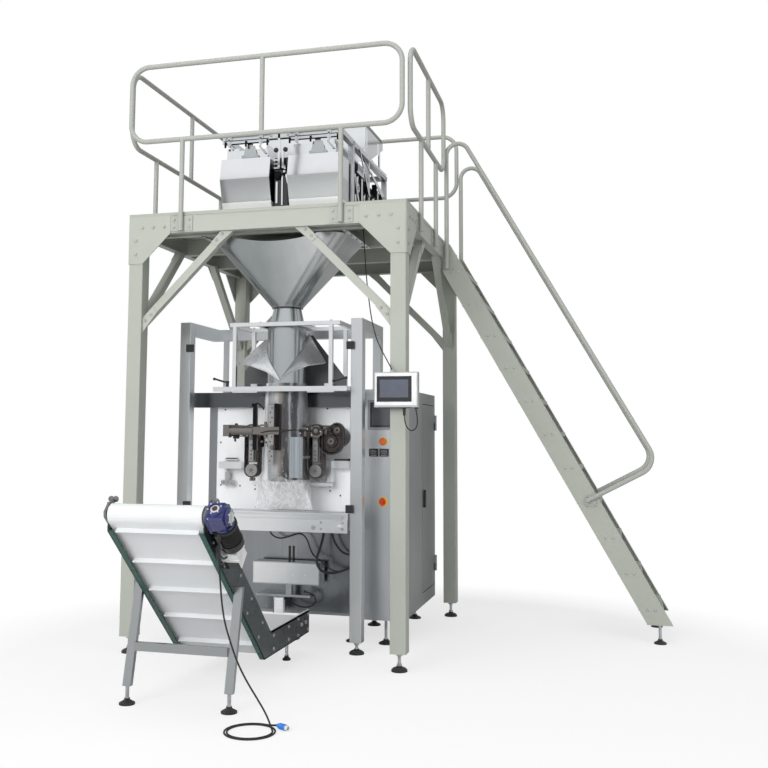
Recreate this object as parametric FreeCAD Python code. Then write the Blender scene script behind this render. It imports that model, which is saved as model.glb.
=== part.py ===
import FreeCAD, Part
import math
import os

V = FreeCAD.Vector

# Frame while modelling: X to the right, Y away from the viewer, Z up, floor at zero.
# Everything is moved at the end so that the origin is the middle of the footprint.

# Support platform
PLAT_W = 1900.0
PLAT_D = 1970.0
DECK_TOP = 2885.0
DECK_T = 22.0
DECK_EDGE = 4.0
DROP_X0 = 640.0
DROP_X1 = 1290.0
DROP_Y0 = 280.0
DROP_Y1 = 590.0
COLUMN = 100.0
COLUMN_BASE = 110.0
COLUMN_ROUND = 6.0
BEAM_H = 115.0
BEAM_FLANGE = 55.0
BEAM_WALL = 6.0
BEAM_TOP = DECK_TOP - DECK_T
BEAM_BASE = BEAM_TOP - BEAM_H
GUSSET_T = 6.0
GUSSET_LONG = 300.0
GUSSET_DROP = 316.0
BRACE = 50.0
BRACE_REACH = 590.0

# Levelling feet
FOOT_R = 49.0
SMALL_FOOT_R = 42.0
SWIVEL_FOOT_R = 26.0
FOOT_RIM = 9.0
FOOT_H = 34.0
FOOT_SHOULDER = 0.62
FOOT_COLLAR = 0.36
STEM_R = 10.0
STEM_COLLAR = 2.0

# Guardrails
RAIL_R = 16.5
RAIL_POST_R = 16.0
RAIL_TOP = DECK_TOP + 1010.0
RAIL_MID = DECK_TOP + 491.0
RAIL_BEND = 122.0
RAIL_POST_BASE = BEAM_BASE + 8.0
PLATE_T = 6.0
POST_PLATE_W = 156.0
POST_PLATE_H = 102.0
POST_SINK = 1.5
POST_OFF = PLATE_T + RAIL_R - POST_SINK
FRONT_POSTS = (380.0, PLAT_W - 420.0)
LEFT_POSTS = (400.0, PLAT_D - 400.0)
RAIL_INSET = 30.0
FRONT_LOOP_END = PLAT_W - 20.0

# Stair
STAIR_BACK = PLAT_D - 15.0
STAIR_FRONT = STAIR_BACK - 655.0
STAIR_TILT = math.radians(60.6)
STRINGER_W = 148.0
STRINGER_T = 34.0
STRINGER_WALL = 6.0
STRINGER_END = 130.0
STRINGER_TOE_X = PLAT_W + 1586.0
STRINGER_DROP = 40.0
TREADS = 11
TREAD_RUN = 168.0
TREAD_LIP = 28.0
TREAD_T = 5.0
TREAD_TAB = 40.0
HAND_END_X = STRINGER_TOE_X - 561.0
HAND_END_Z = 960.0
HAND_TURN_X = STRINGER_TOE_X - 68.0
HAND_TURN_Z = 1222.0
HAND_POST_X = PLAT_W + 37.0
HAND_POST_Z = DECK_TOP - 230.0
HAND_BEND = 86.0
HAND_PLATE = 76.0
HAND_HEAD_X = HAND_POST_X + 10.0
HAND_HEAD_Z = HAND_POST_Z + HAND_PLATE / 2
HAND_FOOT_X = HAND_END_X + 30.0
RAIL_CLEAR = 0.8
RIGHT_LOOP_END = STAIR_FRONT - POST_OFF - 2 * RAIL_R - RAIL_CLEAR
RIGHT_POSTS = (382.0, STAIR_FRONT - 380.0)

# Process line: funnel, forming tube and jaws share one upright axis
AXIS_X = 962.0
AXIS_Y = 480.0
SHEET = 3.0

# Weigher, standing on the deck
WEIGHER_X = 942.0
COVER_Y = 300.0
COVER_DEPTH = 270.0
COVER_W = 362.0
COVER_GAP = 130.0
COVER_TOP = DECK_TOP + 435.0
COVER_CREASE = DECK_TOP + 287.0
COVER_LOW = DECK_TOP + 87.0
COVER_TUCK = 60.0
COVER_LEAN = 26.0
WEIGH_L = 520.0
WEIGH_R = 1392.0
WEIGH_FRONT = 330.0
WEIGH_LEGS = (600.0, 1040.0, 1592.0)
WEIGH_TOP = DECK_TOP + 601.0
WEIGH_LOW_RAIL = DECK_TOP + 90.0
TUBE_SQ = 38.0
HOUSING_BASE = DECK_TOP + 175.0
HOUSING_TOP = DECK_TOP + 415.0
SPINE_W = 96.0
SPINE_Y = 372.0
DRIVE_W = 130.0
DRIVE_Y0 = 880.0
DRIVE_Y1 = 1090.0
PAN_W = 272.0
PAN_Y0 = 380.0
PAN_Y1 = 1150.0
PAN_BASE = DECK_TOP + 467.0
PAN_TOP = DECK_TOP + 547.0
HOPPER_L = 562.0
HOPPER_R = 1350.0
HOPPER_FRONT = 1100.0
HOPPER_BACK = 1660.0
HOPPER_TOP = DECK_TOP + 885.0
HOPPER_BACK_RISE = 20.0
HOPPER_BASE = DECK_TOP + 585.0
HOPPER_TOE = 50.0
HOPPER_BACK_BASE = DECK_TOP + 830.0
EAR_W = 44.0
EAR_T = 6.0

# Funnel hung under the deck
FUNNEL_TOP = BEAM_BASE - 6.0
FUNNEL_BASE = 2288.0
FUNNEL_W = 960.0
FUNNEL_L = 600.0
FUNNEL_X0 = AXIS_X - FUNNEL_W / 2
FUNNEL_X1 = AXIS_X + FUNNEL_W / 2
FUNNEL_Y0 = AXIS_Y - FUNNEL_L / 2
FUNNEL_Y1 = AXIS_Y + FUNNEL_L / 2
FUNNEL_ROUND = 120.0
FUNNEL_DIP = 40.0
FUNNEL_DIP_W = 620.0
FLANGE_W = 30.0
THROAT_R = 108.0
THROAT_FLAT = 4.0
SPOUT_TOP_R = 94.0
SPOUT_LOW_R = 117.0
SPOUT_BASE = 2178.0
SPOUT_RING_R = 137.0

# Forming set
TUBE_R = 134.0
TUBE_WALL = 3.0
TUBE_TOP = 2172.0
TUBE_BASE = 1105.0
FILM_R = 150.0
FILM_GAP = 0.3
FILM_WALL = 2.5
FILM_TOP = 1764.0
FILM_SHOULDER = 1640.0
BAG_TOP = 1095.0
BAG_BASE = 912.0
BAG_W = 420.0
BAG_STEPS = 4
BAG_D = 30.0
BAG_CURVE_POWER = 1.4
BAG_OVAL = 0.001
COLLAR_V = 1773.0
COLLAR_RISE = 300.0
COLLAR_T = 5.0
COLLAR_NOSE = 8.0
COLLAR_STEPS = 24
COLLAR_GAP = 0.95
WING_X = 323.0
WING_Y = 390.0
WING_RISE = 125.0
WING_BACK_X = 250.0
WING_BACK_Y = 640.0
GUIDE_SHEET_Y = 640.7
GUIDE_SHEET_L = 580.0
GUIDE_SHEET_R = 1345.0
GUIDE_SHEET_TOP = 2000.0
GUIDE_SHEET_SIDE = 1850.0
FORMER_L = 615.0
FORMER_R = 1394.0
FORMER_LEG_L = 637.0
FORMER_LEG_R = 1317.0
FORMER_FRONT = 290.0
FORMER_BACK = 670.0
FORMER_BAR = 26.0
FORMER_TOP = 2168.0
TABLE_L = 500.0
TABLE_TOP = 1735.0
TABLE_T = 26.0
TABLE_HOLE_R = 172.0

# Machine body and front posts
POST = 80.0
POST_L = 204.0
POST_R = 1443.0
POST_Y = 385.0
POST_TOP = 2192.0
POST_BASE = 76.0
POST_ROUND = 4.0
BACK_BEAM_Y = 891.0
BACK_LEG = 33.0
BODY_L = 302.0
BODY_R = 1450.0
BODY_Y = 700.0
BODY_BACK = 1480.0
BODY_BASE = 185.0
BODY_TOP = 1700.0
BODY_FOOT_INSET = 90.0
PANEL_L = 382.0
PANEL_R = 1400.0
PANEL_Y = 655.0
PANEL_BASE = 885.0
PANEL_TOP = 1605.0
FASCIA_Y = 600.0
HINGE_BLOCK_W = 52.0
HINGE_BLOCK_T = 20.0
HINGE_BLOCK_UP = 1984.0
HINGE_BLOCK_LOW = 905.0
HINGE_BLOCK_ROUND = 3.0

# Film pulling and sealing
BELT_R = 53.0
BELT_T = 6.0
BELT_PLATE_HALF = 38.0
BELT_Y0 = 440.0
BELT_Y1 = 520.0
BELT_LOW_Z = 1165.0
BELT_HIGH_Z = 1570.0
DRIVE_ARM_Z = 1330.0
DRIVE_ARM_H = 90.0
DRIVE_MOTOR_X = 1302.0
DRIVE_MOTOR_Z = 1400.0
DRIVE_MOTOR_R = 68.0
DRIVE_MOTOR_Y = 470.0
SEALER_BASE = 1312.0
SEALER_TOP = 1618.0
SEALER_BARS = ((793.0, 815.0), (900.0, 942.0), (951.0, 980.0))
SEALER_Y0 = 298.0
SEALER_Y1 = 326.0
SEALER_LINK_Y = 280.0
SEALER_LINK_Z0 = 1415.0
SEALER_LINK_Z1 = 1465.0
CYLINDER_R = 28.0
CYLINDER_L = 630.0
CYLINDER_Y = 300.0
BRACKET_LONG = 45.0
BRACKET_HALF = 39.0
COVER_PLATE_L = 1050.0
COVER_PLATE_R = 1140.0
COVER_PLATE_Z0 = 1132.0
COVER_PLATE_Z1 = 1399.0
COVER_PLATE_T = 12.0
JAW_HALF = 470.0
JAW_FRONT_Y = 360.0
JAW_T = 60.0
JAW_LIP = 10.0
JAW_BASE = 775.0
JAW_STEP = 860.0
JAW_TOP = 900.0
REAR_JAW_Y = 530.0
REAR_JAW_T = 70.0
GUIDE_X = 422.0
GUIDE_R = 14.0
GUIDE_Z = 817.0
GUIDE_FRONT = 345.0
BORE_GAP = 0.4
BAG_SHELF_L = 716.0
BAG_SHELF_R = 1192.0
BAG_SHELF_Y = 530.0
BAG_SHELF_D = 120.0
BAG_SHELF_Z0 = 405.0
BAG_SHELF_Z1 = 553.0
BAG_STEM_W = 40.0
BASE_PLATE_L = 741.0
BASE_PLATE_R = 1128.0
BASE_PLATE_Z0 = 322.0
BASE_PLATE_Z1 = 337.0
LIFT_BLOCK_L = 850.0
LIFT_BLOCK_R = 925.0
LIFT_BLOCK_Z = 205.0

# Control cabinet
CAB_L = 1450.0
CAB_R = 1740.0
CAB_Y = 690.0
CAB_BACK = 1840.0
CAB_BASE = 170.0
CAB_TOP = 1730.0
CAB_ROUND = 4.0
DOOR_FRONT = 1330.0
DOOR_BACK = 1832.0
DOOR_BASE = 260.0
DOOR_TOP = 1650.0
DOOR_T = 18.0
DOOR_GAP = 5.0
DOOR_POCKET = 40.0
KNUCKLE_R = 8.0
DOOR_KNUCKLE_R = KNUCKLE_R - 0.3
KNUCKLE_Y = 1834.0
KNUCKLE_H = 60.0
KNUCKLES = (360.0, 1453.0)
KNUCKLE_GAP = 0.4
LEAF_LONG = 34.0
LEAF_T = 7.0
HANDLE_Y = 1390.0
HANDLE_Z = 945.0
HANDLE_W = 28.0
HANDLE_H = 130.0
HANDLE_T = 14.0
SCREEN_L = 1482.0
SCREEN_R = 1705.0
SCREEN_Z0 = 1451.0
SCREEN_Z1 = 1657.0
SCREEN_SUNK = 24.0
SCREEN_GAP = 8.0
CONTROLLERS = (1497.0, 1570.0)
CONTROLLER_W = 60.0
CONTROLLER_Z = 1271.0
CONTROLLER_H = 49.0
BUTTON_X = 1593.5
STOP_Z = 1372.0
STOP_RING_R = 28.0
STOP_RING_T = 8.0
STOP_BORE_R = 8.5
STOP_STEM_R = 8.0
STOP_R = 22.0
STOP_HEAD = 20.0
STOP_CLEAR = 10.0
STOP_STEM_BACK = 6.0
SWITCH_Z = 963.0
SWITCH_R = 32.0
SWITCH_T = 12.0
KNOB_R = 23.0
KNOB_T = 8.0
KNOB_BAR = 18.0
KNOB_BAR_H = 52.0
KNOB_GAP = 0.5

# Operator screen of the weigher, on the right front column
PANEL_BOX_L = PLAT_W - 185.0
PANEL_BOX_R = PANEL_BOX_L + 271.0
PANEL_BOX_Z0 = 1584.0
PANEL_BOX_Z1 = PANEL_BOX_Z0 + 215.0
PANEL_BOX_Y0 = -62.0
PANEL_BOX_Y1 = -12.0
GLAND_R = 8.0
GLAND_H = 14.0
CABLE_R = 3.5
CABLE_TOP_X = PANEL_BOX_L + 107.0
CABLE_Y = -37.0
LOOP_X0 = PANEL_BOX_R - 88.0
LOOP_X1 = PANEL_BOX_R - 14.0

# Take-off conveyor
CONV_L = 652.0
CONV_R = 1182.0
CONV_TILT = math.radians(42.0)
CONV_WALL = 6.0
CONV_DEPTH = 168.0
CONV_ELBOW_Y = -475.0
CONV_ELBOW_Z = 138.0
CONV_TAIL_Y = 345.0
CONV_TAIL_H = 142.0
CONV_RUN = 1262.0
CONV_LIP = 30.0
LIP_SHORT = 80.0
BELT_LOW = 30.0
ROLLER_R = 54.0
BELT_SIDE_GAP = 2.0
TAIL_GAP = 12.0
CLEATS = 5
CLEAT_FIRST = 1160.0
CLEAT_STEP = 256.0
CLEAT_H = 26.0
CLEAT_T = 6.0
CLEAT_ROOT = 1.0
SHAFT_R = 12.0
LEG_W = 46.0
LEG_D = 28.0
LEG_FOOT_Y = -1050.0
LEG_HEAD_Y = -935.0
LEG_HEAD_Z = 615.0
LEG_BASE = 95.0
LEG_CROSS_Y = -1035.0
LEG_CROSS_Z = 272.0
LEG_CROSS_H = 45.0
LEG_CROSS_D = 26.0
SWIVEL_X = 79.0
SWIVEL_Y = 136.0

# Gear motor and junction box, set out along the slope from the head shaft
GEAR_LONG = 58.0
GEAR_HIGH = 60.0
GEAR_OUT = 118.0
GEAR_DISC_R = 46.0
GEAR_DISC_T = 14.0
MOTOR_X = 1252.0
MOTOR_R = 60.0
MOTOR_FLANGE = 14.0
MOTOR_LONG = 150.0
MOTOR_CORE_R = 53.0
MOTOR_FINS = 8
MOTOR_FIN_T = 5.0
MOTOR_CAP = 42.0
MOTOR_GLAND_X = 1244.0
MOTOR_GLAND_Y = -1312.0
MOTOR_GLAND_Z0 = 889.0
MOTOR_GLAND_Z1 = 925.0
MOTOR_GLAND_R = 11.0
JBOX_START = 248.0
JBOX_LONG = 120.0
JBOX_HALF = 50.0
JBOX_OUT = 98.0

# Power cord: a slack drop, two turns on the floor and the plug
BEND_SHARE = 0.45
CORD_R = 4.5
COIL_X = 1428.0
COIL_Y = -1325.0
COIL_START = 40.0
COIL_SWEEP = 698.0
COIL_STEPS = 24
COIL_R0 = 108.0
COIL_R1 = 134.0
COIL_EXIT = 42.0
PLUG_R = 15.0
PLUG_LONG = 62.0
PLUG_CAP = 16.0
PLUG_CAP_R = 12.0


def box(x0, x1, y0, y1, z0, z1):
    return Part.makeBox(x1 - x0, y1 - y0, z1 - z0, V(x0, y0, z0))


def rod(p, q, r):
    return Part.makeCylinder(r, (q - p).Length, p, q - p)


def prism(points, along):
    wire = Part.makePolygon(points + [points[0]])
    return Part.Face(wire).extrude(along)


def prism_xz(pairs, y0, y1):
    return prism([V(x, y0, z) for x, z in pairs], V(0, y1 - y0, 0))


def prism_yz(pairs, x0, x1):
    return prism([V(x0, y, z) for y, z in pairs], V(x1 - x0, 0, 0))


def turned(x, y, pairs):
    # turns an outline of (radius, height) points about an upright axis
    points = [V(x + r, y, z) for r, z in pairs]
    wire = Part.makePolygon(points + [points[0]])
    return Part.Face(wire).revolve(V(x, y, 0), V(0, 0, 1), 360)


def join(solids):
    whole = solids[0]
    for piece in solids[1:]:
        whole = whole.fuse(piece)
    return whole.removeSplitter()


def soften(shape, radius, direction):
    # rounds the long edges that run along one direction
    edges = []
    for edge in shape.Edges:
        if len(edge.Vertexes) < 2:
            continue
        run = edge.Vertexes[1].Point - edge.Vertexes[0].Point
        if run.Length > 2 * radius and abs(run.normalize().dot(direction)) > 0.999:
            edges.append(edge)
    return shape.makeFillet(radius, edges)


def square_bar(p, q, side):
    # square bar along a sloping line that lies in an upright plane
    along = (q - p).normalize()
    across = along.cross(V(0, 0, 1)).normalize()
    up = across.cross(along)
    a = across * (side / 2)
    b = up * (side / 2)
    return prism([p + a + b, p + a - b, p - a - b, p - a + b], q - p)


def corner_arc(before, corner, after, radius):
    # start, middle and end point of the arc that rounds a corner
    a = (before - corner).normalize()
    b = (after - corner).normalize()
    half = a.getAngle(b) / 2
    reach = radius / math.tan(half)
    centre = corner + (a + b).normalize() * (radius / math.sin(half))
    middle = centre + (corner - centre).normalize() * radius
    return corner + a * reach, middle, corner + b * reach


def bent_tube(points, radius, bend):
    # straight tubes joined by turned bends, made of plain cylinders and tori
    pieces = []
    start = points[0]
    for i in range(1, len(points) - 1):
        a, middle, b = corner_arc(points[i - 1], points[i], points[i + 1], bend)
        pieces.append(rod(start, a, radius))
        pieces.append(tube_bend(a, middle, b, radius))
        start = b
    pieces.append(rod(start, points[-1], radius))
    return pieces


def tube_bend(a, middle, b, radius):
    centre = Part.Arc(a, middle, b).toShape().Curve.Center
    axis = (a - centre).cross(b - centre)
    turn = math.degrees((a - centre).getAngle(b - centre))
    heading = axis.cross(a - centre)
    face = Part.Face(Part.Wire([Part.makeCircle(radius, a, heading)]))
    return face.revolve(centre, axis, turn)


def cord(points, radius):
    # straight runs and tangent arcs, each arc as wide as its shorter run allows
    edges = []
    radii = []
    start = points[0]
    for i in range(1, len(points) - 1):
        before = points[i] - points[i - 1]
        after = points[i + 1] - points[i]
        half = before.getAngle(after) / 2
        bend = BEND_SHARE * min(before.Length, after.Length) / math.tan(half)
        a, middle, b = corner_arc(points[i - 1], points[i], points[i + 1], bend)
        edges.append(Part.makeLine(start, a))
        edges.append(Part.Arc(a, middle, b).toShape())
        radii.append(bend)
        start = b
    edges.append(Part.makeLine(start, points[-1]))
    spine = Part.Wire(edges)
    heading = points[1] - points[0]
    section = Part.Wire([Part.makeCircle(radius, points[0], heading)])
    tube = spine.makePipeShell([section], True, False)
    expected = spine.Length * math.pi * radius ** 2
    print("cord length %.0f smallest radius %.0f volume ratio %.4f"
          % (spine.Length, min(radii), tube.Volume / expected))
    return tube


# Support platform

def platform_columns():
    out = []
    for x in (0, PLAT_W - COLUMN):
        for y in (0, PLAT_D - COLUMN):
            post = box(x, x + COLUMN, y, y + COLUMN, COLUMN_BASE, BEAM_TOP)
            out.append(soften(post, COLUMN_ROUND, V(0, 0, 1)))
    return out


def gusset_outline(sign, origin):
    # corner plate seen square on, measured from the outer column edge
    pairs = [(0, BEAM_TOP), (0, BEAM_TOP - GUSSET_DROP), (COLUMN, BEAM_TOP - GUSSET_DROP),
             (GUSSET_LONG, BEAM_BASE), (GUSSET_LONG, BEAM_TOP)]
    return [(origin + sign * a, z) for a, z in pairs]


def column_gussets():
    out = []
    for sign, edge in ((1, 0), (-1, PLAT_W)):
        flat = gusset_outline(sign, edge)
        out.append(prism_xz(flat, -GUSSET_T, 0))
        out.append(prism_xz(flat, PLAT_D, PLAT_D + GUSSET_T))
    for sign, edge in ((1, 0), (-1, PLAT_D)):
        flat = gusset_outline(sign, edge)
        out.append(prism_yz(flat, -GUSSET_T, 0))
        out.append(prism_yz(flat, PLAT_W, PLAT_W + GUSSET_T))
    return out


def channel(length):
    # web on the outside at y = 0, flanges pointing inward, runs along x
    pairs = [(0, 0), (BEAM_FLANGE, 0), (BEAM_FLANGE, BEAM_WALL), (BEAM_WALL, BEAM_WALL),
             (BEAM_WALL, BEAM_H - BEAM_WALL), (BEAM_FLANGE, BEAM_H - BEAM_WALL),
             (BEAM_FLANGE, BEAM_H), (0, BEAM_H)]
    return prism_yz(pairs, 0, length)


def turned_channel(length, angle, corner):
    beam = channel(length)
    beam.rotate(V(0, 0, 0), V(0, 0, 1), angle)
    beam.translate(corner)
    return beam


def platform_beams():
    across = PLAT_W - 2 * COLUMN
    along = PLAT_D - 2 * COLUMN
    out = [turned_channel(across, 0, V(COLUMN, 0, BEAM_BASE)),
           turned_channel(across, 180, V(PLAT_W - COLUMN, PLAT_D, BEAM_BASE)),
           turned_channel(along, 90, V(PLAT_W, COLUMN, BEAM_BASE)),
           turned_channel(along, -90, V(0, PLAT_D - COLUMN, BEAM_BASE))]
    for y in (FUNNEL_Y0 - BEAM_FLANGE, FUNNEL_Y1, (FUNNEL_Y1 + PLAT_D) / 2):
        cross = turned_channel(PLAT_W - 2 * BEAM_FLANGE, 0, V(BEAM_FLANGE, y, BEAM_BASE))
        out.append(cross)
    return out


def deck_plate():
    deck = box(-DECK_EDGE, PLAT_W + DECK_EDGE, -DECK_EDGE, PLAT_D + DECK_EDGE, BEAM_TOP, DECK_TOP)
    hole = box(DROP_X0, DROP_X1, DROP_Y0, DROP_Y1, BEAM_TOP - 1, DECK_TOP + 1)
    return [deck.cut(hole)]


def brace(low_end, high_end, clip):
    beyond = (high_end - low_end).normalize() * (2 * BRACE)
    return square_bar(low_end - beyond, high_end + beyond, BRACE).common(clip)


def platform_braces():
    out = []
    low = BEAM_BASE - BRACE_REACH
    mid = COLUMN / 2
    inside_x = box(COLUMN, PLAT_W - COLUMN, -COLUMN, PLAT_D + COLUMN, 0, BEAM_BASE)
    inside_y = box(-COLUMN, PLAT_W + COLUMN, COLUMN, PLAT_D - COLUMN, 0, BEAM_BASE)
    for y in (mid, PLAT_D - mid):
        for sign, x in ((1, COLUMN), (-1, PLAT_W - COLUMN)):
            head = V(x + sign * BRACE_REACH, y, BEAM_BASE)
            out.append(brace(V(x, y, low), head, inside_x))
    for x in (mid, PLAT_W - mid):
        for sign, y in ((1, COLUMN), (-1, PLAT_D - COLUMN)):
            head = V(x, y + sign * BRACE_REACH, BEAM_BASE)
            out.append(brace(V(x, y, low), head, inside_y))
    return out


def foot(x, y, top, radius=FOOT_R):
    # low dome, collar and threaded stem in one turned shape
    collar = max(radius * FOOT_COLLAR, STEM_R + STEM_COLLAR)
    pairs = [(0, 0), (radius, 0), (radius, FOOT_RIM), (radius * FOOT_SHOULDER, 2 * FOOT_RIM),
             (collar, FOOT_H - FOOT_RIM), (collar, FOOT_H), (STEM_R, FOOT_H), (STEM_R, top), (0, top)]
    return turned(x, y, pairs)


def levelling_feet():
    out = []
    half = COLUMN / 2
    for x in (half, PLAT_W - half):
        for y in (half, PLAT_D - half):
            out.append(foot(x, y, COLUMN_BASE))
    for x in (POST_L + POST / 2, POST_R + POST / 2):
        out.append(foot(x, POST_Y + POST / 2, POST_BASE))
    inset = BODY_FOOT_INSET
    for x in (BODY_L + inset, BODY_R - inset):
        for y in (BODY_Y + inset, BODY_BACK - inset):
            out.append(foot(x, y, BODY_BASE))
    for y in (CAB_Y + inset, CAB_BACK - inset):
        out.append(foot((CAB_L + CAB_R) / 2, y, CAB_BASE))
    toe = STRINGER_TOE_X - STRINGER_W / math.sin(STAIR_TILT) / 2
    for y in (STAIR_FRONT + STRINGER_T / 2, STAIR_BACK - STRINGER_T / 2):
        out.append(foot(toe, y, STRINGER_END - TREAD_T, SMALL_FOOT_R))
    for x in (CONV_L - LEG_W / 2, CONV_R + LEG_W / 2):
        out.append(foot(x, LEG_FOOT_Y, LEG_BASE, SMALL_FOOT_R))
    for x in (CONV_L + SWIVEL_X, CONV_R - SWIVEL_X):
        out.append(foot(x, SWIVEL_Y, CONV_ELBOW_Z - CONV_WALL, SWIVEL_FOOT_R))
    return out


# Guardrails

def rail_loop(flat, a0, a1, posts):
    # flat(a, z) gives the point in the upright plane of the loop
    middle = (a0 + a1) / 2
    low_mid = flat(middle, RAIL_MID)
    top_mid = flat(middle, RAIL_TOP)
    pieces = []
    for a in (a0, a1):
        half_loop = [low_mid, flat(a, RAIL_MID), flat(a, RAIL_TOP), top_mid]
        pieces += bent_tube(half_loop, RAIL_R, RAIL_BEND)
    pieces.append(rod(low_mid, top_mid, RAIL_POST_R))
    for a in posts:
        pieces.append(rod(flat(a, RAIL_POST_BASE), flat(a, RAIL_MID), RAIL_POST_R))
    return pieces


def post_plate_x(a, y0, y1):
    half = POST_PLATE_W / 2
    return box(a - half, a + half, y0, y1, RAIL_POST_BASE, RAIL_POST_BASE + POST_PLATE_H)


def post_plate_y(a, x0, x1):
    half = POST_PLATE_W / 2
    return box(x0, x1, a - half, a + half, RAIL_POST_BASE, RAIL_POST_BASE + POST_PLATE_H)


def guardrails():
    front = rail_loop(lambda a, z: V(a, -POST_OFF, z), 0, FRONT_LOOP_END, FRONT_POSTS)
    front += [post_plate_x(a, -PLATE_T, 0) for a in FRONT_POSTS]
    rear = rail_loop(lambda a, z: V(a, PLAT_D + POST_OFF, z), 0, PLAT_W, FRONT_POSTS)
    rear += [post_plate_x(a, PLAT_D, PLAT_D + PLATE_T) for a in FRONT_POSTS]
    left = rail_loop(lambda a, z: V(-POST_OFF, a, z), RAIL_INSET, PLAT_D - RAIL_INSET, LEFT_POSTS)
    left += [post_plate_y(a, -PLATE_T, 0) for a in LEFT_POSTS]
    right = rail_loop(lambda a, z: V(PLAT_W + POST_OFF, a, z), RAIL_INSET, RIGHT_LOOP_END, RIGHT_POSTS)
    right += [post_plate_y(a, PLAT_W, PLAT_W + PLATE_T) for a in RIGHT_POSTS]
    return [join(pieces) for pieces in (front, rear, left, right)]


# Stair

def stringer_outline():
    # front view of one stringer: plumb cut at the platform, level cut at the foot
    slope = math.tan(STAIR_TILT)
    level = STRINGER_W / math.sin(STAIR_TILT)
    start = PLAT_W + GUSSET_T
    rise = (STRINGER_TOE_X - start) * slope
    top_cut = DECK_TOP - STRINGER_DROP
    upper_x = STRINGER_TOE_X - (top_cut - STRINGER_END) / slope
    lower_z = STRINGER_END + rise - level * slope
    return [(STRINGER_TOE_X, STRINGER_END), (upper_x, top_cut), (start, top_cut),
            (start, lower_z), (STRINGER_TOE_X - level, STRINGER_END)]


def stringer_middle_x(z):
    slope = math.tan(STAIR_TILT)
    level = STRINGER_W / math.sin(STAIR_TILT)
    return STRINGER_TOE_X - (z - STRINGER_END) / slope - level / 2


def stringer_hollow(y0, y1):
    # takes the inner side out of a stringer so that it is a channel
    slope = math.tan(STAIR_TILT)
    wall = STRINGER_WALL / math.sin(STAIR_TILT)
    width = STRINGER_W / math.sin(STAIR_TILT) - 2 * wall
    low = 0.0
    high = DECK_TOP
    x_low = STRINGER_TOE_X - wall - (low - STRINGER_END) / slope
    x_high = STRINGER_TOE_X - wall - (high - STRINGER_END) / slope
    pairs = [(x_low, low), (x_high, high), (x_high - width, high), (x_low - width, low)]
    return prism_xz(pairs, y0, y1)


def stair_stringers():
    flat = stringer_outline()
    front = prism_xz(flat, STAIR_FRONT, STAIR_FRONT + STRINGER_T)
    back = prism_xz(flat, STAIR_BACK - STRINGER_T, STAIR_BACK)
    inside = STRINGER_T + 1
    front = front.cut(stringer_hollow(STAIR_FRONT + STRINGER_WALL, STAIR_FRONT + inside))
    back = back.cut(stringer_hollow(STAIR_BACK - inside, STAIR_BACK - STRINGER_WALL))
    out = []
    for side, y in ((front, STAIR_FRONT), (back, STAIR_BACK - STRINGER_T)):
        x1 = STRINGER_TOE_X
        x0 = x1 - STRINGER_W / math.sin(STAIR_TILT)
        sole = box(x0, x1, y, y + STRINGER_T, STRINGER_END - TREAD_T, STRINGER_END)
        out.append(join([side, sole]))
    return out


def stair_treads():
    out = []
    rise = DECK_TOP / (TREADS + 1)
    y0 = STAIR_FRONT + STRINGER_T
    y1 = STAIR_BACK - STRINGER_T
    half = TREAD_RUN / 2
    for i in range(1, TREADS + 1):
        top = DECK_TOP - i * rise
        base = top - TREAD_LIP
        x = stringer_middle_x(top - TREAD_LIP / 2)
        pan = box(x - half, x + half, y0, y1, base, top)
        inside = box(x - half + TREAD_T, x + half - TREAD_T, y0 - 1, y1 + 1, base - 1, top - TREAD_T)
        tabs = [box(x - TREAD_TAB, x + TREAD_TAB, y, y + TREAD_T, base, top)
                for y in (y0, y1 - TREAD_T)]
        out.append(join([pan.cut(inside)] + tabs))
    return out


def hand_plate(x, z, y0, y1):
    half = HAND_PLATE / 2
    return box(x - half, x + half, y0, y1, z - half, z + half)


def stair_handrails():
    # each rail stands off its stringer on two plates
    peak = HAND_TURN_Z + (HAND_TURN_X - HAND_POST_X) * math.tan(STAIR_TILT)
    out = []
    for side, face in ((-1, STAIR_FRONT), (1, STAIR_BACK)):
        y = face + side * POST_OFF
        post = V(HAND_POST_X, y, HAND_POST_Z)
        top = V(HAND_POST_X, y, peak)
        turn = V(HAND_TURN_X, y, HAND_TURN_Z)
        end = V(HAND_END_X, y, HAND_END_Z)
        middle = (top + turn) * 0.5
        pieces = bent_tube([post, top, middle], RAIL_R, HAND_BEND)
        pieces += bent_tube([middle, turn, end], RAIL_R, RAIL_BEND)
        y0 = min(face, face + side * PLATE_T)
        for x, z in ((HAND_HEAD_X, HAND_HEAD_Z), (HAND_FOOT_X, HAND_END_Z)):
            pieces.append(hand_plate(x, z, y0, y0 + PLATE_T))
        out.append(join(pieces))
    return out


# Weigher

def cover_outline():
    # side view of one cover: leaning upper face, crease, tucked lower face
    y0 = COVER_Y
    y1 = COVER_Y + COVER_DEPTH
    return [(y0 + COVER_LEAN, COVER_TOP), (y0, COVER_CREASE), (y0 + COVER_TUCK, COVER_LOW),
            (y1, COVER_LOW), (y1, COVER_TOP)]


def cover_middles():
    step = (COVER_W + COVER_GAP) / 2
    return (WEIGHER_X - step, WEIGHER_X + step)


def weigher_covers():
    # folded sheet, open below and at the back where it hangs on the housing
    out = []
    for x in cover_middles():
        block = prism_yz(cover_outline(), x - COVER_W / 2, x + COVER_W / 2)
        back = COVER_Y + COVER_DEPTH
        left_open = [f for f in block.Faces
                     if abs(f.CenterOfMass.y - back) < SHEET or abs(f.CenterOfMass.z - COVER_LOW) < SHEET]
        out.append(block.makeThickness(left_open, -SHEET, 0.001))
    return out


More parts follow.
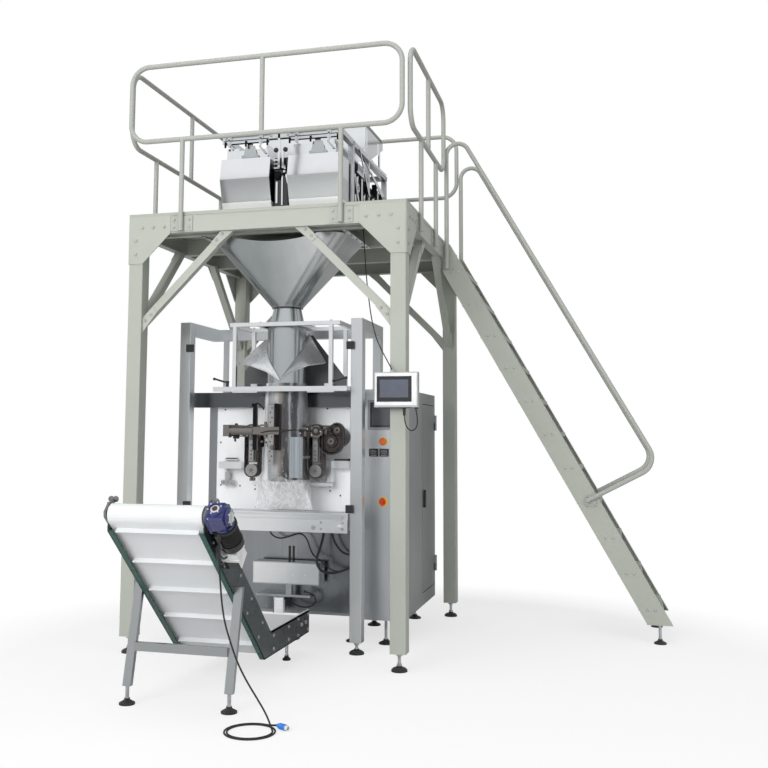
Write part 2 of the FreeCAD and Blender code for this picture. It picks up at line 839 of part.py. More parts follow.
def weigher_frame():
    s = TUBE_SQ
    back = WEIGH_LEGS[-1]
    pieces = []
    for x in (WEIGH_L, WEIGH_R - s):
        for y in WEIGH_LEGS:
            pieces.append(box(x, x + s, y, y + s, DECK_TOP, WEIGH_TOP))
        pieces.append(box(x, x + s, WEIGH_FRONT, back + s, WEIGH_TOP - s, WEIGH_TOP))
        pieces.append(box(x, x + s, WEIGH_LEGS[0], back + s, WEIGH_LOW_RAIL, WEIGH_LOW_RAIL + s))
    for y in (WEIGH_FRONT, back):
        pieces.append(box(WEIGH_L, WEIGH_R, y, y + s, WEIGH_TOP - s, WEIGH_TOP))
    pieces.append(box(WEIGH_L, WEIGH_R, back, back + s, WEIGH_LOW_RAIL, WEIGH_LOW_RAIL + s))
    return [join(pieces)]


def weigher_body():
    # closed housing of the weigh cells between the uprights, behind the covers
    return [box(WEIGH_L + TUBE_SQ, WEIGH_R - TUBE_SQ, COVER_Y + COVER_DEPTH, WEIGH_LEGS[-1],
                HOUSING_BASE, HOUSING_TOP)]


def weigher_spine():
    # narrow drive housing between the two covers
    return [box(WEIGHER_X - SPINE_W / 2, WEIGHER_X + SPINE_W / 2, SPINE_Y, COVER_Y + COVER_DEPTH,
                COVER_LOW, COVER_TOP)]


def feed_drives():
    return [box(x - DRIVE_W / 2, x + DRIVE_W / 2, DRIVE_Y0, DRIVE_Y1, HOUSING_TOP, PAN_BASE)
            for x in cover_middles()]


def feed_pans():
    # two shallow trays that run forward from under the hopper to the covers
    out = []
    for x in cover_middles():
        x0 = x - PAN_W / 2
        x1 = x + PAN_W / 2
        tray = box(x0, x1, PAN_Y0, PAN_Y1, PAN_BASE, PAN_TOP)
        inner = box(x0 + SHEET, x1 - SHEET, PAN_Y0 - 1, PAN_Y1 - SHEET, PAN_BASE + SHEET, PAN_TOP + 1)
        out.append(tray.cut(inner))
    return out


def hopper_outline(inset):
    # side view of the infeed hopper: its floor falls to an open toe at the front
    front = HOPPER_FRONT + inset
    back = HOPPER_BACK - inset
    toe = HOPPER_FRONT + HOPPER_TOE - inset
    return [(front, HOPPER_TOP), (back, HOPPER_TOP + HOPPER_BACK_RISE), (back, HOPPER_BACK_BASE),
            (toe, HOPPER_BASE), (front, HOPPER_BASE)]


def raised(pairs, ends, by):
    return [(a, z + by if i in ends else z) for i, (a, z) in enumerate(pairs)]


def infeed_hopper():
    outer = prism_yz(hopper_outline(0), HOPPER_L, HOPPER_R)
    inner_flat = raised(hopper_outline(SHEET), (0, 1), EAR_W)
    inner_flat = raised(inner_flat, (2, 3, 4), SHEET)
    inner_flat = raised(inner_flat, (3, 4), -2 * SHEET)
    shell = outer.cut(prism_yz(inner_flat, HOPPER_L + SHEET, HOPPER_R - SHEET))
    ears = []
    for y in (HOPPER_FRONT + EAR_W, WEIGH_LEGS[-1] - 2 * EAR_W):
        for x0, x1, wall in ((WEIGH_L, HOPPER_L, HOPPER_L - EAR_T), (HOPPER_R, WEIGH_R, HOPPER_R)):
            ears.append(box(x0, x1, y, y + EAR_W, WEIGH_TOP, WEIGH_TOP + EAR_T))
            ears.append(box(wall, wall + EAR_T, y, y + EAR_W, WEIGH_TOP, HOPPER_TOP - EAR_W))
    return [join([shell] + ears)]


# Funnel

def rounded_outline(width, depth, radius, z):
    plate = box(AXIS_X - width / 2, AXIS_X + width / 2, AXIS_Y - depth / 2, AXIS_Y + depth / 2, z, z + 1)
    corners = [e for e in plate.Edges if abs(e.Vertexes[0].Z - e.Vertexes[1].Z) > 0.5]
    plate = plate.makeFillet(radius, corners)
    for face in plate.Faces:
        if abs(face.CenterOfMass.z - z) < 1e-6:
            return face.OuterWire


def funnel_skin(grow):
    top = rounded_outline(FUNNEL_W + 2 * grow, FUNNEL_L + 2 * grow, FUNNEL_ROUND + grow, FUNNEL_TOP)
    side = 2 * (THROAT_R + grow)
    low = rounded_outline(side, side, THROAT_R + grow - THROAT_FLAT, FUNNEL_BASE)
    return Part.makeLoft([low, top], True, True)


def funnel_dip():
    # the front rim is cut down in a shallow arc
    half = FUNNEL_DIP_W / 2
    a = V(AXIS_X - half, FUNNEL_Y0 - 1, FUNNEL_TOP)
    b = V(AXIS_X, FUNNEL_Y0 - 1, FUNNEL_TOP - FUNNEL_DIP)
    c = V(AXIS_X + half, FUNNEL_Y0 - 1, FUNNEL_TOP)
    wire = Part.Wire([Part.Arc(a, b, c).toShape(), Part.makeLine(c, a)])
    return Part.Face(wire).extrude(V(0, FUNNEL_ROUND, 0))


def discharge_funnel():
    cone = funnel_skin(0).cut(funnel_skin(-SHEET)).cut(funnel_dip())
    pieces = [cone]
    y0 = FUNNEL_Y0 - FLANGE_W
    y1 = FUNNEL_Y1 + FLANGE_W
    for x0, x1 in ((FUNNEL_X0 - FLANGE_W, FUNNEL_X0 + SHEET), (FUNNEL_X1 - SHEET, FUNNEL_X1 + FLANGE_W)):
        pieces.append(box(x0, x1, y0, y1, FUNNEL_TOP, BEAM_BASE))
    pieces.append(box(FUNNEL_X0, FUNNEL_X1, FUNNEL_Y1 - SHEET, y1, FUNNEL_TOP, BEAM_BASE))
    return [join(pieces)]


def funnel_spout():
    # short flared spout: a ring under the throat and a rolled edge on the tube
    w = SHEET
    pairs = [(SPOUT_TOP_R - w, FUNNEL_BASE), (THROAT_R, FUNNEL_BASE), (THROAT_R, FUNNEL_BASE - w),
             (SPOUT_TOP_R, FUNNEL_BASE - w), (SPOUT_LOW_R, SPOUT_BASE), (SPOUT_RING_R, SPOUT_BASE),
             (SPOUT_RING_R, TUBE_TOP), (SPOUT_LOW_R - w, TUBE_TOP)]
    return [turned(AXIS_X, AXIS_Y, pairs)]


# Forming set

def forming_tube():
    inner = TUBE_R - TUBE_WALL
    return [turned(AXIS_X, AXIS_Y, [(inner, TUBE_BASE), (TUBE_R, TUBE_BASE), (TUBE_R, TUBE_TOP),
                                    (inner, TUBE_TOP)])]


def film_sleeve():
    # film drawn tight on the tube at the top, loose below
    tight = TUBE_R + FILM_GAP
    loose = FILM_R - FILM_WALL
    pairs = [(tight, FILM_TOP), (tight + FILM_WALL, FILM_TOP), (FILM_R, FILM_SHOULDER),
             (FILM_R, BAG_TOP), (loose, BAG_TOP), (loose, FILM_SHOULDER)]
    return [turned(AXIS_X, AXIS_Y, pairs)]


def bag_section(grow, share, z):
    # round at the sleeve, wide and flat above the jaws
    wide = FILM_R + (BAG_W / 2 - FILM_R) * share
    deep = FILM_R - (FILM_R - BAG_D / 2) * share ** BAG_CURVE_POWER
    curve = Part.Ellipse(V(AXIS_X, AXIS_Y, z), wide + grow, deep + grow)
    return Part.Wire([curve.toShape()])


def bag_skin(grow):
    # the first section is a hair off round, so that all of them are ellipses
    wires = []
    for i in range(BAG_STEPS + 1):
        share = i / BAG_STEPS
        z = BAG_TOP + (BAG_BASE - BAG_TOP) * share
        wires.append(bag_section(grow, min(share + BAG_OVAL, 1.0), z))
    return Part.makeLoft(wires, True, False)


def film_bag():
    return [bag_skin(0).cut(bag_skin(-FILM_WALL))]


def facet(*points):
    return Part.Face(Part.makePolygon(list(points) + [points[0]]))


def thick_sheet(inner, outer, drop):
    # closed sheet of flat facets between two rows of points, as thick as the drop
    under = V(0, 0, -drop)
    faces = []
    for i in range(len(inner) - 1):
        a, b, c, d = inner[i], outer[i], outer[i + 1], inner[i + 1]
        faces += [facet(a, b, c), facet(a, c, d)]
        faces += [facet(a + under, b + under, c + under), facet(a + under, c + under, d + under)]
        faces += [facet(a, d, d + under, a + under), facet(b, c, c + under, b + under)]
    for a, b in ((inner[0], outer[0]), (inner[-1], outer[-1])):
        faces.append(facet(a, b, b + under, a + under))
    shell = Part.makeShell(faces)
    shell.sewShape()
    solid = Part.makeSolid(shell)
    if solid.Volume < 0:
        solid.reverse()
    return solid


def spread_points(points, count):
    # evenly numbered points along a smooth curve through the given ones
    curve = Part.BSplineCurve()
    curve.interpolate(points)
    first = curve.FirstParameter
    step = (curve.LastParameter - first) / count
    return [curve.value(first + step * i) for i in range(count + 1)]


def collar_side(sign):
    # one wing: from the edge that wraps the tube to the free outer edge
    radius = TUBE_R + COLLAR_GAP
    inner = []
    for i in range(COLLAR_STEPS + 1):
        t = math.pi * i / COLLAR_STEPS
        z = COLLAR_V + COLLAR_RISE * math.sin(t / 2)
        inner.append(V(AXIS_X + sign * radius * math.sin(t), AXIS_Y - radius * math.cos(t), z))
    front = AXIS_Y - radius - COLLAR_NOSE
    outer = []
    for share in (0.0, 0.25, 0.5, 0.75, 1.0):
        z = COLLAR_V + WING_RISE * math.sin(share * math.pi / 2)
        outer.append(V(AXIS_X + sign * WING_X * share, front + (WING_Y - front) * share ** 2, z))
    outer.append(V(AXIS_X + sign * WING_BACK_X, (WING_Y + WING_BACK_Y) / 2, COLLAR_V + WING_RISE))
    outer.append(V(AXIS_X, WING_BACK_Y, COLLAR_V + WING_RISE))
    return thick_sheet(inner, spread_points(outer, COLLAR_STEPS), COLLAR_T)


def forming_collar():
    left = collar_side(-1)
    right = collar_side(1)
    pairs = [(GUIDE_SHEET_L, TABLE_TOP), (GUIDE_SHEET_R, TABLE_TOP), (GUIDE_SHEET_R, GUIDE_SHEET_SIDE),
             (AXIS_X + WING_BACK_X, GUIDE_SHEET_TOP), (AXIS_X - WING_BACK_X, GUIDE_SHEET_TOP),
             (GUIDE_SHEET_L, GUIDE_SHEET_SIDE)]
    sheet = prism_xz(pairs, GUIDE_SHEET_Y, GUIDE_SHEET_Y + SHEET)
    return [left, right, sheet]


def former_frame():
    s = FORMER_BAR
    low = FORMER_TOP - s
    pieces = []
    for y in (FORMER_FRONT, FORMER_BACK - s):
        pieces.append(box(FORMER_L, FORMER_R, y, y + s, low, FORMER_TOP))
        for x in (FORMER_LEG_L, FORMER_LEG_R):
            pieces.append(box(x, x + s, y, y + s, TABLE_TOP, FORMER_TOP))
    clamp_l = AXIS_X - TUBE_R - s
    clamp_r = AXIS_X + TUBE_R
    for x in (FORMER_L, clamp_l, clamp_r, FORMER_R - s):
        pieces.append(box(x, x + s, FORMER_FRONT, FORMER_BACK, low, FORMER_TOP))
    return [join(pieces)]


def former_table():
    slab = box(TABLE_L, POST_R, FORMER_FRONT, BODY_Y, TABLE_TOP - TABLE_T, TABLE_TOP)
    hole = Part.makeCylinder(TABLE_HOLE_R, TABLE_T + 2, V(AXIS_X, AXIS_Y, TABLE_TOP - TABLE_T - 1))
    return [slab.cut(hole)]


# Machine body and front posts

def machine_posts():
    out = []
    for x in (POST_L, POST_R):
        post = box(x, x + POST, POST_Y, POST_Y + POST, POST_BASE, POST_TOP)
        out.append(soften(post, POST_ROUND, V(0, 0, 1)))
    return out


def machine_top_frame():
    z0 = POST_TOP - POST
    y0 = BACK_BEAM_Y
    pieces = []
    for x in (POST_L, POST_R):
        pieces.append(box(x, x + POST, POST_Y + POST, y0 + POST, z0, POST_TOP))
    pieces.append(box(POST_L, POST_R + POST, y0, y0 + POST, z0, POST_TOP))
    pieces.append(box(BODY_L + BACK_LEG / 2, BODY_L + 1.5 * BACK_LEG, y0, y0 + BACK_LEG, BODY_TOP, z0))
    right_leg = CAB_L + BACK_LEG / 2
    pieces.append(box(right_leg, POST_R + POST, y0, y0 + POST, CAB_TOP, z0))
    return [join(pieces)]


def machine_body():
    return [box(BODY_L, BODY_R, BODY_Y, BODY_BACK, BODY_BASE, BODY_TOP)]


def front_panel():
    return [box(PANEL_L, PANEL_R, PANEL_Y, BODY_Y, PANEL_BASE, PANEL_TOP)]


def front_fascia():
    # closed beam over the white panel that carries the former table, scooped round the tube
    beam = box(POST_L, CAB_L, FASCIA_Y, BODY_Y, PANEL_TOP, TABLE_TOP - TABLE_T)
    return [beam.cut(Part.makeCylinder(TABLE_HOLE_R, TABLE_TOP - PANEL_TOP, V(AXIS_X, AXIS_Y, PANEL_TOP)))]


def hinge_blocks():
    # black blocks bolted to the front faces of the two posts
    w = HINGE_BLOCK_W
    out = []
    for x in (POST_L + POST - w / 2, POST_R - w / 2):
        for z in (HINGE_BLOCK_UP, HINGE_BLOCK_LOW):
            block = box(x, x + w, POST_Y - HINGE_BLOCK_T, POST_Y, z, z + w)
            out.append(soften(block, HINGE_BLOCK_ROUND, V(0, 1, 0)))
    return out


# Film pulling and sealing

def belt_slot(x, radius, y0, y1):
    # upright slot shape round the two pulley centres of one belt
    ends = [rod(V(x, y0, z), V(x, y1, z), radius) for z in (BELT_LOW_Z, BELT_HIGH_Z)]
    return join(ends + [box(x - radius, x + radius, y0, y1, BELT_LOW_Z, BELT_HIGH_Z)])


def pull_belts():
    # each belt runs round two pulleys; a plate behind it presses it on the film
    out = []
    reach = FILM_R + FILM_GAP + BELT_R
    inner = BELT_R - BELT_T
    for x in (AXIS_X - reach, AXIS_X + reach):
        band = belt_slot(x, BELT_R, BELT_Y0, BELT_Y1).cut(belt_slot(x, inner, BELT_Y0 - 1, BELT_Y1 + 1))
        pulleys = [rod(V(x, BELT_Y0, z), V(x, BELT_Y1, z), inner) for z in (BELT_LOW_Z, BELT_HIGH_Z)]
        plate = box(x - BELT_PLATE_HALF, x + BELT_PLATE_HALF, BELT_Y0, BELT_Y1, BELT_LOW_Z, BELT_HIGH_Z)
        out.append(join([band, plate] + pulleys))
    return out


def belt_drives():
    reach = FILM_R + FILM_GAP + BELT_R
    half = BELT_R / 2
    left = box(AXIS_X - reach - half, AXIS_X - reach + half, BELT_Y1, PANEL_Y,
               DRIVE_ARM_Z, DRIVE_ARM_Z + DRIVE_ARM_H)
    right_x = AXIS_X + reach
    right = box(right_x - half, DRIVE_MOTOR_X, BELT_Y1, BELT_Y1 + DRIVE_ARM_H,
                DRIVE_ARM_Z, DRIVE_ARM_Z + DRIVE_ARM_H)
    motor = rod(V(DRIVE_MOTOR_X, DRIVE_MOTOR_Y, DRIVE_MOTOR_Z), V(DRIVE_MOTOR_X, PANEL_Y, DRIVE_MOTOR_Z),
                DRIVE_MOTOR_R)
    return [left, join([right, motor])]


def vertical_sealer():
    # three upright bars on a link plate, pushed by one cylinder from a wall bracket
    bars = [box(x0, x1, SEALER_Y0, SEALER_Y1, SEALER_BASE, SEALER_TOP) for x0, x1 in SEALER_BARS]
    link = box(SEALER_BARS[0][0], SEALER_BARS[-1][1], SEALER_LINK_Y, SEALER_Y0,
               SEALER_LINK_Z0, SEALER_LINK_Z1)
    z = (SEALER_LINK_Z0 + SEALER_LINK_Z1) / 2
    cylinder = rod(V(CYLINDER_L, CYLINDER_Y, z), V(SEALER_BARS[0][0], CYLINDER_Y, z), CYLINDER_R)
    bracket = box(CYLINDER_L - BRACKET_LONG, CYLINDER_L, CYLINDER_Y - CYLINDER_R, PANEL_Y,
                  z - BRACKET_HALF, z + BRACKET_HALF)
    return [join(bars + [link, cylinder, bracket])]


def sealer_cover():
    # clear cover plate in front of the right pull belt, on one stand-off
    plate = box(COVER_PLATE_L, COVER_PLATE_R, SEALER_Y0, SEALER_Y0 + COVER_PLATE_T,
                COVER_PLATE_Z0, COVER_PLATE_Z1)
    x = AXIS_X + FILM_R + FILM_GAP + BELT_R / 2
    z = (COVER_PLATE_Z0 + COVER_PLATE_Z1) / 2
    pin = rod(V(x, SEALER_Y0 + COVER_PLATE_T / 2, z), V(x, BELT_Y0, z), STEM_R)
    return [join([plate, pin])]


def front_jaw():
    x0 = AXIS_X - JAW_HALF
    x1 = AXIS_X + JAW_HALF
    y0 = JAW_FRONT_Y
    beam = box(x0, x1, y0, y0 + JAW_T, JAW_BASE, JAW_STEP)
    face = box(x0, x1, y0 + JAW_LIP, y0 + JAW_T + JAW_LIP, JAW_STEP, JAW_TOP)
    jaw = join([beam, face])
    for x in (AXIS_X - GUIDE_X, AXIS_X + GUIDE_X):
        jaw = jaw.cut(rod(V(x, y0 - 1, GUIDE_Z), V(x, y0 + JAW_T + 1, GUIDE_Z), GUIDE_R + BORE_GAP))
    return [jaw]


def rear_jaw():
    y0 = REAR_JAW_Y
    half = GUIDE_X + 2 * GUIDE_R
    jaw = box(AXIS_X - half, AXIS_X + half, y0, y0 + REAR_JAW_T, JAW_BASE, JAW_TOP)
    for x in (AXIS_X - GUIDE_X, AXIS_X + GUIDE_X):
        jaw = jaw.cut(rod(V(x, y0 - 1, GUIDE_Z), V(x, y0 + REAR_JAW_T + 1, GUIDE_Z), GUIDE_R))
    return [jaw]


def jaw_guides():
    out = []
    for x in (AXIS_X - GUIDE_X, AXIS_X + GUIDE_X):
        out.append(rod(V(x, GUIDE_FRONT, GUIDE_Z), V(x, BODY_Y, GUIDE_Z), GUIDE_R))
    return out


def bag_support():
    # shelf under the jaws on a stem, base plate and ribbed lifting block
    y0 = BAG_SHELF_Y
    y1 = y0 + BAG_SHELF_D
    mid_y = (y0 + y1) / 2
    half = BAG_STEM_W / 2
    shelf = box(BAG_SHELF_L, BAG_SHELF_R, y0, y1, BAG_SHELF_Z0, BAG_SHELF_Z1)
    stem = box(AXIS_X - half, AXIS_X + half, mid_y - half, mid_y + half, BASE_PLATE_Z1, BAG_SHELF_Z0)
    base = box(BASE_PLATE_L, BASE_PLATE_R, y0, BODY_Y, BASE_PLATE_Z0, BASE_PLATE_Z1)
    block = box(LIFT_BLOCK_L, LIFT_BLOCK_R, mid_y - half, mid_y + half, LIFT_BLOCK_Z, BASE_PLATE_Z0)
    return [join([shelf, stem, base, block])]


# Control cabinet

def control_cabinet():
    shell = box(CAB_L, CAB_R, CAB_Y, CAB_BACK, CAB_BASE, CAB_TOP)
    recess = box(SCREEN_L, SCREEN_R, CAB_Y - 1, CAB_Y + SCREEN_SUNK, SCREEN_Z0, SCREEN_Z1)
    pocket = box(CAB_R - DOOR_POCKET, CAB_R + 1, DOOR_FRONT, DOOR_BACK, DOOR_BASE, DOOR_TOP)
    cabinet = soften(shell, CAB_ROUND, V(0, 0, 1)).cut(recess).cut(pocket)
    knuckles = [Part.makeCylinder(KNUCKLE_R, KNUCKLE_H, V(CAB_R + KNUCKLE_R, KNUCKLE_Y, z))
                for z in KNUCKLES]
    return [cabinet] + knuckles


def cabinet_door():
    # slab in the side of the cabinet with one knuckle and leaf over each cabinet knuckle
    g = DOOR_GAP
    pin_x = CAB_R + KNUCKLE_R
    pieces = [box(CAB_R - DOOR_T, CAB_R, DOOR_FRONT + g, DOOR_BACK - g, DOOR_BASE + g, DOOR_TOP - g)]
    for low in KNUCKLES:
        z = low + KNUCKLE_H + KNUCKLE_GAP
        pieces.append(Part.makeCylinder(DOOR_KNUCKLE_R, KNUCKLE_H, V(pin_x, KNUCKLE_Y, z)))
        pieces.append(box(CAB_R, CAB_R + LEAF_T, KNUCKLE_Y - LEAF_LONG, KNUCKLE_Y - KNUCKLE_R / 2,
                          z, z + KNUCKLE_H))
    return [join(pieces)]


def door_handle():
    half_w = HANDLE_W / 2
    half_h = HANDLE_H / 2
    grip = box(CAB_R, CAB_R + HANDLE_T, HANDLE_Y - half_w, HANDLE_Y + half_w,
               HANDLE_Z - half_h, HANDLE_Z + half_h)
    return [soften(grip, HANDLE_T / 3, V(1, 0, 0))]


def control_screen():
    g = SCREEN_GAP
    return [box(SCREEN_L + g, SCREEN_R - g, CAB_Y + g / 2, CAB_Y + SCREEN_SUNK, SCREEN_Z0 + g, SCREEN_Z1 - g)]


def temperature_controllers():
    return [box(x, x + CONTROLLER_W, CAB_Y - SCREEN_GAP, CAB_Y, CONTROLLER_Z, CONTROLLER_Z + CONTROLLER_H)
            for x in CONTROLLERS]


def front_rod(z, y0, y1, radius):
    return rod(V(BUTTON_X, y0, z), V(BUTTON_X, y1, z), radius)


def stop_collar():
    ring = front_rod(STOP_Z, CAB_Y - STOP_RING_T, CAB_Y, STOP_RING_R)
    return [ring.cut(front_rod(STOP_Z, CAB_Y - STOP_RING_T - 1, CAB_Y + 1, STOP_BORE_R))]


def emergency_stop():
    face = CAB_Y - STOP_RING_T - STOP_CLEAR
    head = front_rod(STOP_Z, face - STOP_HEAD, face, STOP_R)
    rim = [e for e in head.Edges if e.Closed and e.CenterOfMass.y < face - STOP_HEAD / 2]
    head = head.makeFillet(STOP_HEAD / 3, rim)
    stem = front_rod(STOP_Z, face, CAB_Y - STOP_STEM_BACK, STOP_STEM_R)
    return [join([head, stem])]


def main_switch():
    return [front_rod(SWITCH_Z, CAB_Y - SWITCH_T, CAB_Y, SWITCH_R)]


def switch_knob():
    back = CAB_Y - SWITCH_T - KNOB_GAP
    disc = front_rod(SWITCH_Z, back - KNOB_T, back, KNOB_R)
    half = KNOB_BAR / 2
    bar = box(BUTTON_X - half, BUTTON_X + half, back - 3 * KNOB_T, back - KNOB_T,
              SWITCH_Z - KNOB_BAR_H / 2, SWITCH_Z + KNOB_BAR_H / 2)
    return [join([disc, bar])]


# Operator screen of the weigher and its cables

def weigher_screen():
    case = box(PANEL_BOX_L, PANEL_BOX_R, PANEL_BOX_Y0, PANEL_BOX_Y1, PANEL_BOX_Z0, PANEL_BOX_Z1)
    case = soften(case, CAB_ROUND, V(0, 1, 0))
    bracket = box(PLAT_W - COLUMN + 2 * COLUMN_ROUND, PLAT_W - 2 * COLUMN_ROUND, PANEL_BOX_Y1, 0,
                  PANEL_BOX_Z0 + COLUMN / 2, PANEL_BOX_Z1 - COLUMN / 2)
    glands = [Part.makeCylinder(GLAND_R, GLAND_H, V(CABLE_TOP_X, CABLE_Y, PANEL_BOX_Z1))]
    for x in (LOOP_X0, LOOP_X1):
        glands.append(Part.makeCylinder(GLAND_R, GLAND_H, V(x, CABLE_Y, PANEL_BOX_Z0 - GLAND_H)))
    return [join([case, bracket] + glands)]


def weigher_cables():
    # the long cable comes down from the deck behind the brace; the short one is a loop
    top = V(CABLE_TOP_X, CABLE_Y, PANEL_BOX_Z1 + GLAND_H)
    steps = [V(-282, 337, BEAM_TOP - top.z), V(-274, 337, 952), V(-265, 327, 852), V(-253, 307, 752),
             V(-238, 275, 655), V(-220, 237, 559), V(-200, 202, 465), V(-179, 167, 373),
             V(-154, 132, 285), V(-122, 95, 200), V(-78, 51, 123), V(-33, 13, 57), V(0, 0, 0)]
    start = V(LOOP_X0, CABLE_Y, PANEL_BOX_Z0 - GLAND_H)
    width = LOOP_X1 - LOOP_X0
    loop = [V(0, 0, 0), V(1, 0, -48), V(9, -1, -98), V(38, -3, -130), V(width - 4, -3, -120),
            V(width + 12, -1, -80), V(width, 0, 0)]
    return [cord([top + d for d in steps], CABLE_R), cord([start + d for d in loop], CABLE_R)]


# Take-off conveyor

def slope_point(along, up):
    # a point on the sloping run: along it from the elbow, and square up from its lower edge
    t = CONV_TILT
    y = CONV_ELBOW_Y - along * math.cos(t) + up * math.sin(t)
    z = CONV_ELBOW_Z + along * math.sin(t) + up * math.cos(t)
    return y, z


def conveyor_outline(low, high, head, tail):
    # side view in (y, z) of a band between two heights above the lower edge
    flat_high = min(high, CONV_TAIL_H - low)
    elbow = math.tan(CONV_TILT / 2)
    start = (tail, CONV_ELBOW_Z + low)
    bend = (CONV_ELBOW_Y + low * elbow, CONV_ELBOW_Z + low)
    head_low = slope_point(head, low)
    head_high = slope_point(head, high)
    top_z = CONV_ELBOW_Z + flat_high
    inner_y = head_high[0] + (head_high[1] - top_z) / math.tan(CONV_TILT)
    return [start, bend, head_low, head_high, (inner_y, top_z), (tail, top_z)]


def conveyor_sides():
    plate = conveyor_outline(0, CONV_DEPTH, CONV_RUN, CONV_TAIL_Y)
    lip = conveyor_outline(0, CONV_WALL, CONV_RUN - LIP_SHORT, CONV_TAIL_Y)
    left = join([prism_yz(plate, CONV_L, CONV_L + CONV_WALL), prism_yz(lip, CONV_L, CONV_L + CONV_LIP)])
    right = join([prism_yz(plate, CONV_R - CONV_WALL, CONV_R), prism_yz(lip, CONV_R - CONV_LIP, CONV_R)])
    return [left, right]


def conveyor_belt():
    # one closed loop with its rollers and cleats, driven by the head shaft
    x0 = CONV_L + CONV_WALL + BELT_SIDE_GAP
    x1 = CONV_R - CONV_WALL - BELT_SIDE_GAP
    low = BELT_LOW
    high = BELT_LOW + 2 * ROLLER_R
    tail_y = CONV_TAIL_Y - ROLLER_R - TAIL_GAP
    band = prism_yz(conveyor_outline(low, high, CONV_RUN - ROLLER_R, tail_y), x0, x1)
    y, z = slope_point(CONV_RUN - ROLLER_R, low + ROLLER_R)
    head = rod(V(x0, y, z), V(x1, y, z), ROLLER_R)
    shaft = rod(V(CONV_L + CONV_WALL, y, z), V(CONV_R - CONV_WALL, y, z), SHAFT_R)
    tail_r = (min(high, CONV_TAIL_H - low) - low) / 2
    tail_z = CONV_ELBOW_Z + low + tail_r
    tail = rod(V(x0, tail_y, tail_z), V(x1, tail_y, tail_z), tail_r)
    pieces = [band, head, shaft, tail]
    for i in range(CLEATS):
        along = CLEAT_FIRST - i * CLEAT_STEP
        for root, tip, inset in ((low + CLEAT_ROOT, low - CLEAT_H, CONV_LIP),
                                 (high - CLEAT_ROOT, high + CLEAT_H, CONV_WALL)):
            flat = [slope_point(along, root), slope_point(along, tip),
                    slope_point(along + CLEAT_T, tip), slope_point(along + CLEAT_T, root)]
            pieces.append(prism_yz(flat, x0 + inset, x1 - inset))
    return [join(pieces)]


def conveyor_legs():
    w = LEG_W
    d = LEG_D / 2
    pieces = []
    pairs = [(LEG_FOOT_Y - d, LEG_BASE), (LEG_FOOT_Y + d, LEG_BASE),
             (LEG_HEAD_Y + d, LEG_HEAD_Z), (LEG_HEAD_Y - d, LEG_HEAD_Z)]
    for x in (CONV_L - w, CONV_R):
        pieces.append(prism_yz(pairs, x, x + w))
    pieces.append(box(CONV_L, CONV_R, LEG_CROSS_Y, LEG_CROSS_Y + LEG_CROSS_D,
                      LEG_CROSS_Z, LEG_CROSS_Z + LEG_CROSS_H))
    tail = box(CONV_L, CONV_R, SWIVEL_Y - LEG_D, SWIVEL_Y + LEG_D,
               CONV_ELBOW_Z - CONV_WALL, CONV_ELBOW_Z)
    return [join(pieces), tail]


def gear_point(x, along, up):
    # a point set out from the head shaft: down the slope and square up from it
    y, z = slope_point(CONV_RUN - ROLLER_R - along, BELT_LOW + ROLLER_R + up)
    return V(x, y, z)


def slope_block(x0, x1, a0, a1, b0, b1):
    corners = [gear_point(x0, a, b) for a, b in ((a0, b0), (a1, b0), (a1, b1), (a0, b1))]
    return prism(corners, V(x1 - x0, 0, 0))


def gear_motor():
    case = slope_block(CONV_R, CONV_R + GEAR_OUT, -GEAR_LONG, GEAR_LONG, -GEAR_HIGH, GEAR_HIGH)
    case = soften(case, GEAR_DISC_T, V(1, 0, 0))
    mid = CONV_R + GEAR_OUT / 2
    disc = rod(gear_point(mid, -GEAR_LONG, 0), gear_point(mid, -GEAR_LONG - GEAR_DISC_T, 0), GEAR_DISC_R)
    hub = rod(gear_point(CONV_R + GEAR_OUT, 0, 0), gear_point(CONV_R + GEAR_OUT + GEAR_DISC_T, 0, 0),
              GEAR_DISC_R)
    return [join([case, disc, hub])]


def conveyor_motor():
    # flange, core with cooling fins round it, and the fan cap at the lower end
    def ring(a0, a1, radius):
        return rod(gear_point(MOTOR_X, GEAR_LONG + a0, 0), gear_point(MOTOR_X, GEAR_LONG + a1, 0), radius)
    end = MOTOR_FLANGE + MOTOR_LONG
    pieces = [ring(0, MOTOR_FLANGE, MOTOR_R + CONV_WALL), ring(0, end, MOTOR_CORE_R),
              ring(end - MOTOR_CAP, end, MOTOR_R)]
    pitch = (MOTOR_LONG - MOTOR_CAP) / (MOTOR_FINS + 1)
    for i in range(1, MOTOR_FINS + 1):
        middle = MOTOR_FLANGE + i * pitch
        pieces.append(ring(middle - MOTOR_FIN_T / 2, middle + MOTOR_FIN_T / 2, MOTOR_R))
    gland = Part.makeCylinder(MOTOR_GLAND_R, MOTOR_GLAND_Z1 - MOTOR_GLAND_Z0,
                              V(MOTOR_GLAND_X, MOTOR_GLAND_Y, MOTOR_GLAND_Z0))
    return [join(pieces + [gland])]


def junction_box():
    case = slope_block(CONV_R, CONV_R + JBOX_OUT, JBOX_START, JBOX_START + JBOX_LONG, -JBOX_HALF, JBOX_HALF)
    return [soften(case, CAB_ROUND, V(1, 0, 0))]


def coil_points():
    # clockwise spiral on the floor, opening outward
    out = []
    for i in range(COIL_STEPS + 1):
        share = i / COIL_STEPS
        angle = math.radians(COIL_START - COIL_SWEEP * share)
        radius = COIL_R0 + (COIL_R1 - COIL_R0) * share
        out.append(V(COIL_X + radius * math.cos(angle), COIL_Y + radius * math.sin(angle), CORD_R))
    return out


def coil_heading():
    angle = math.radians(COIL_START - COIL_SWEEP)
    return V(math.sin(angle), -math.cos(angle), 0)


def plug_start():
    point = coil_points()[-1] + coil_heading() * COIL_EXIT
    return V(point.x, point.y, PLUG_R)


